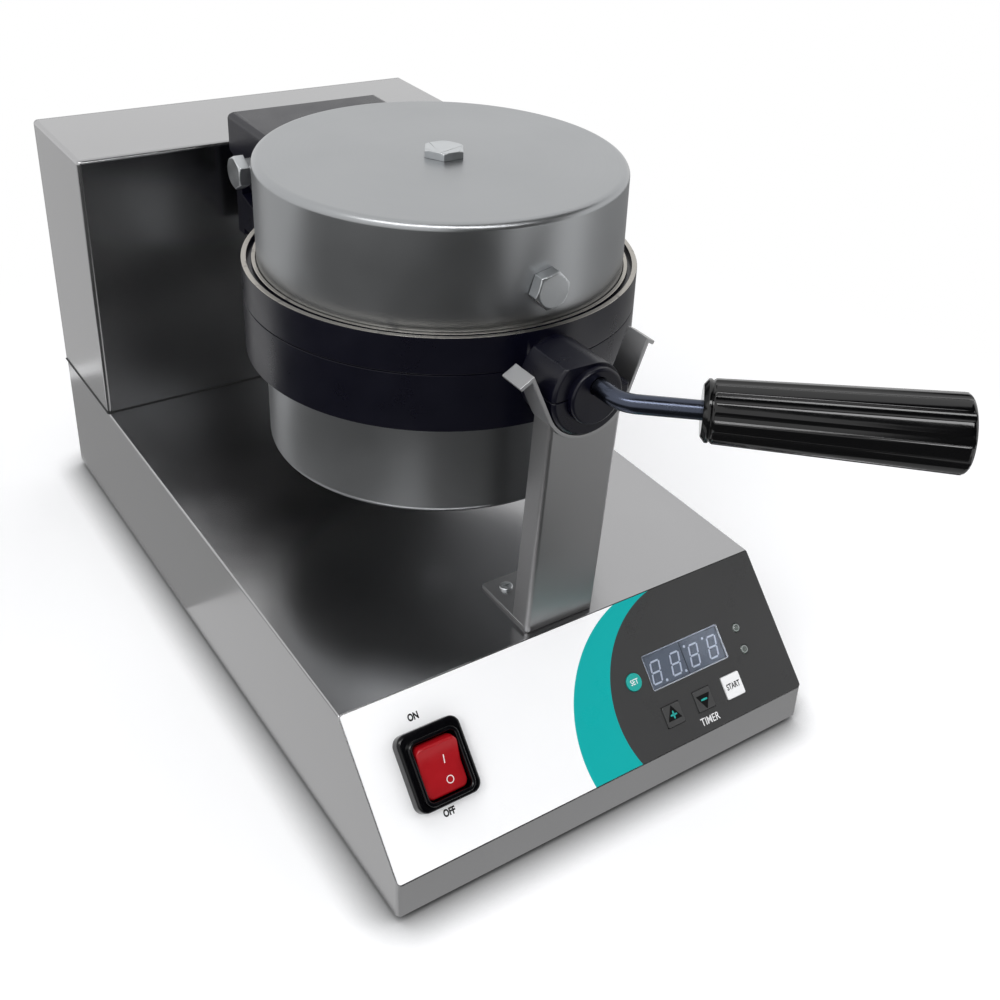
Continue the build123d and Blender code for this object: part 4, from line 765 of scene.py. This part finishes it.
def arrow(name, body, x, down, turned, strokes):
    """A black triangle with a teal sign on it, printed on a key."""
    deselect()
    bpy.ops.mesh.primitive_circle_add(vertices=3, radius=arrow_radius * mm, fill_type="NGON")
    mark = bpy.context.object
    bpy.ops.object.mode_set(mode="EDIT")
    bpy.ops.mesh.select_all(action="SELECT")
    bpy.ops.mesh.bevel(offset=arrow_corner * mm, segments=3, affect="VERTICES")
    thicken(arrow_thick)
    bpy.ops.object.mode_set(mode="OBJECT")
    mark.matrix_world = (on_panel(x, down, key_face + arrow_clear)
                         @ Matrix.Rotation(turned, 4, "Z"))
    finish_piece(mark, name + "_arrow", black_ink, body)
    arms = []
    for angle in strokes:
        arm = copy_of(stroke)
        arm.matrix_world = (on_panel(x, down, key_face + stroke_clear)
                            @ Matrix.Rotation(angle, 4, "Z"))
        arms.append(arm)
    finish_piece(join(arms), name + "_sign", teal_ink, body)


stroke = flat_bar(corners=8, radius=stroke_radius, reach=stroke_reach, height=arrow_thick)
arrow("up", "up_button", x=41.2, down=64.2, turned=0.0, strokes=(math.pi / 2, 0.0))
arrow("down", "down_button", x=62.0, down=63.8, turned=math.pi, strokes=(math.pi / 2,))
bpy.data.objects.remove(stroke)

# Lamps: two clear lenses beside the display. Unlit, they look as dark as the film. Round each lies
# a thin pale grey ring, a painted highlight that stands for the glint on the lens's edge.
lamp_x = 98.3
lamp_rim_radius, lamp_rim_round = 1.8, 0.24
lamp_rim_lift = 0.95

clear = surface("lamp lens, clear", "E6EFEA", 0.08, clouds=0.02, cloud_mm=5.0, grain_mm=0.5,
                relief_mm=0.002)
clear.node_tree.nodes["Principled BSDF"].inputs["Transmission Weight"].default_value = 0.85
dress(clear, "indicator_lamps")
# Painted highlight: the pale grey of the rings stands for the glint on each lens's edge.
lamp_glint_finish = surface("pale lamp ring, painted glint", "9DA3A1", 0.35, clouds=0.05, cloud_mm=4.0,
                    grain_mm=0.4, relief_mm=0.003)
deselect()
bpy.ops.mesh.primitive_torus_add(major_segments=32, minor_segments=8,
                                 major_radius=lamp_rim_radius * mm,
                                 minor_radius=lamp_rim_round * mm)
first_glint_ring = bpy.context.object
for number, rim, lamp_down in ((1, first_glint_ring, 36.9), (2, copy_of(first_glint_ring), 49.1)):
    rim.matrix_world = on_panel(lamp_x, lamp_down, lamp_rim_lift)
    finish_piece(rim, "lamp_glint_ring_" + str(number), lamp_glint_finish, "base")

# Mains switch: a bought-in rocker switch, clipped into the panel. The bezel is black nylon with
# a polished face, and the rocker is clear red polycarbonate, glossy and deep in colour. Its
# face is a shallow valley across the middle, and it is tipped to OFF.
switch_x, switch_down = -89.7, 38.7
rocker_lift = 3.9
rocker_tip = math.radians(12.0)
rocker_width, rocker_length = 21.4, 23.6
rocker_corner = 3.2
rocker_round = 0.7
rocker_dip = 3.2
rocker_slope = 2.4 / 14.2
rocker_steps = ((1.0, 1.045), (2.2, 1.05), (2.0, 1.02), (5.4, 0.93))

bezel_black = surface("black nylon, polished mould", "030306", 0.16, clouds=0.2, cloud_mm=10.0,
                      grain_mm=0.6, relief_mm=0.004, gleam=0.3)
recast("switch_body", "switch_bezel", bezel_black, "base", rounded=0.4)
rocker_red = surface("red polycarbonate, clear", "A8121B", 0.22, clouds=0.12, cloud_mm=6.0,
                     grain_mm=0.6, relief_mm=0.003)


def moulded(piece, radius, sharp):
    """Round a piece's edges that are sharper than an angle, as a mould leaves them."""
    rounding = piece.modifiers.new("moulded rounds", "BEVEL")
    rounding.width = radius * mm
    rounding.segments = 4
    rounding.limit_method = "ANGLE"
    rounding.angle_limit = math.radians(sharp)
    bpy.ops.object.modifier_apply(modifier=rounding.name)


deselect()
bpy.ops.mesh.primitive_grid_add(x_subdivisions=1, y_subdivisions=2, size=1.0)
rocker = bpy.context.object
bpy.ops.object.mode_set(mode="EDIT")
bpy.ops.transform.resize(value=(rocker_width * mm, rocker_length * mm, 1.0))
pick(rocker, "VERT", lambda v: abs(v.co.y) > rocker_length / 4 * mm)
bpy.ops.mesh.bevel(offset=rocker_corner * mm, segments=6, affect="VERTICES")
shape = bmesh.from_edit_mesh(rocker.data)
for vert in shape.verts:
    vert.co.z = rocker_dip * mm + rocker_slope * abs(vert.co.y)
bmesh.update_edit_mesh(rocker.data)
bpy.ops.mesh.select_all(action="SELECT")
for drop, spread in rocker_steps:
    bpy.ops.mesh.extrude_region_move(TRANSFORM_OT_translate={"value": (0, 0, -drop * mm)})
    bpy.ops.transform.resize(value=(1.0, spread, 1.0), center_override=(0, 0, 0))
outward()
bpy.ops.object.mode_set(mode="OBJECT")
moulded(rocker, rocker_round, sharp=40.0)
rocker_frame = (on_panel(switch_x, switch_down, rocker_lift)
                @ Matrix.Rotation(rocker_tip, 4, "X"))
rocker.matrix_world = rocker_frame
finish_piece(rocker, "rocker", rocker_red, "rocker", smooth=40.0)
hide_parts("switch_rocker")

# Collar of the switch: a raised rim of the same black nylon, moulded on the bezel, that follows
# the rocker all round.
collar_width, collar_length = 26.4, 31.4
collar_corner = 4.6
collar_round = 0.8
collar_wall = 2.05
collar_height = 3.0
collar_lift = 6.9

deselect()
bpy.ops.mesh.primitive_plane_add(size=1.0)
collar = bpy.context.object
bpy.ops.object.mode_set(mode="EDIT")
bpy.ops.transform.resize(value=(collar_width * mm, collar_length * mm, 1.0))
pick(collar, "VERT", lambda v: True)
bpy.ops.mesh.bevel(offset=collar_corner * mm, segments=8, affect="VERTICES")
bpy.ops.mesh.select_all(action="SELECT")
bpy.ops.mesh.inset(thickness=collar_wall * mm)
bpy.ops.mesh.delete(type="FACE")
thicken(collar_height)
outward()
bpy.ops.object.mode_set(mode="OBJECT")
moulded(collar, collar_round, sharp=50.0)
collar.matrix_world = on_panel(switch_x, switch_down, collar_lift)
finish_piece(collar, "switch_collar", bezel_black, "base", smooth=40.0)

# Marks on the rocker: a bar above for on and a ring below for off, pad printed in pale ink on
# the two slopes of its face.
bar_place = (2.35, 3.4)
bar_size = (0.52, 4.3, 0.04)
ring_place = (2.55, -6.45)
ring_radius = 1.9
ring_stroke = 0.42
ring_thick = 0.02

mark_ink = surface("pad-printed ink, pale", "F3E8E6", 0.5, clouds=0.03, cloud_mm=3.0,
                   grain_mm=0.3, relief_mm=0.002)


def on_rocker(x, y):
    """A place on the rocker's face, x and y mm from its middle, leaning as the face does."""
    height = rocker_dip + rocker_slope * abs(y)
    lean = math.copysign(math.atan(rocker_slope), y)
    return (rocker_frame @ Matrix.Translation((x * mm, y * mm, height * mm))
            @ Matrix.Rotation(lean, 4, "X"))


deselect()
bpy.ops.mesh.primitive_cube_add(size=1.0)
on_bar = bpy.context.object
on_bar.scale = Vector(bar_size) * mm
on_bar.matrix_world = on_rocker(*bar_place) @ on_bar.matrix_basis
finish_piece(on_bar, "mark_on", mark_ink, "rocker")
deselect()
bpy.ops.mesh.primitive_circle_add(vertices=40, radius=ring_radius * mm, fill_type="NGON")
off_ring = bpy.context.object
bpy.ops.object.mode_set(mode="EDIT")
bpy.ops.mesh.select_all(action="SELECT")
bpy.ops.mesh.inset(thickness=ring_stroke * mm)
bpy.ops.mesh.delete(type="FACE")
thicken(ring_thick)
outward()
bpy.ops.object.mode_set(mode="OBJECT")
off_ring.matrix_world = on_rocker(*ring_place)
finish_piece(off_ring, "mark_off", mark_ink, "rocker")

# Inside and at the back: the circuit board under its green mask, the small switches, the relay
# and the gland at the back in black nylon, and the terminal block in white. The nylon is satin,
# as it comes from the mould.
board_green = surface("circuit board, green mask", "1E5B38", 0.35, clouds=0.15, cloud_mm=4.0)
dress(board_green, "control_board")
nylon_black = surface("black nylon, moulded", "141416", 0.5, clouds=0.12, cloud_mm=8.0,
                      grain_mm=0.5)
dress(nylon_black, "cable_gland", "tact_switches", "power_relay")
nylon_white = surface("white nylon, moulded", "DAD7CE", 0.5, clouds=0.05, cloud_mm=8.0,
                      grain_mm=0.5)
dress(nylon_white, "terminal_block")
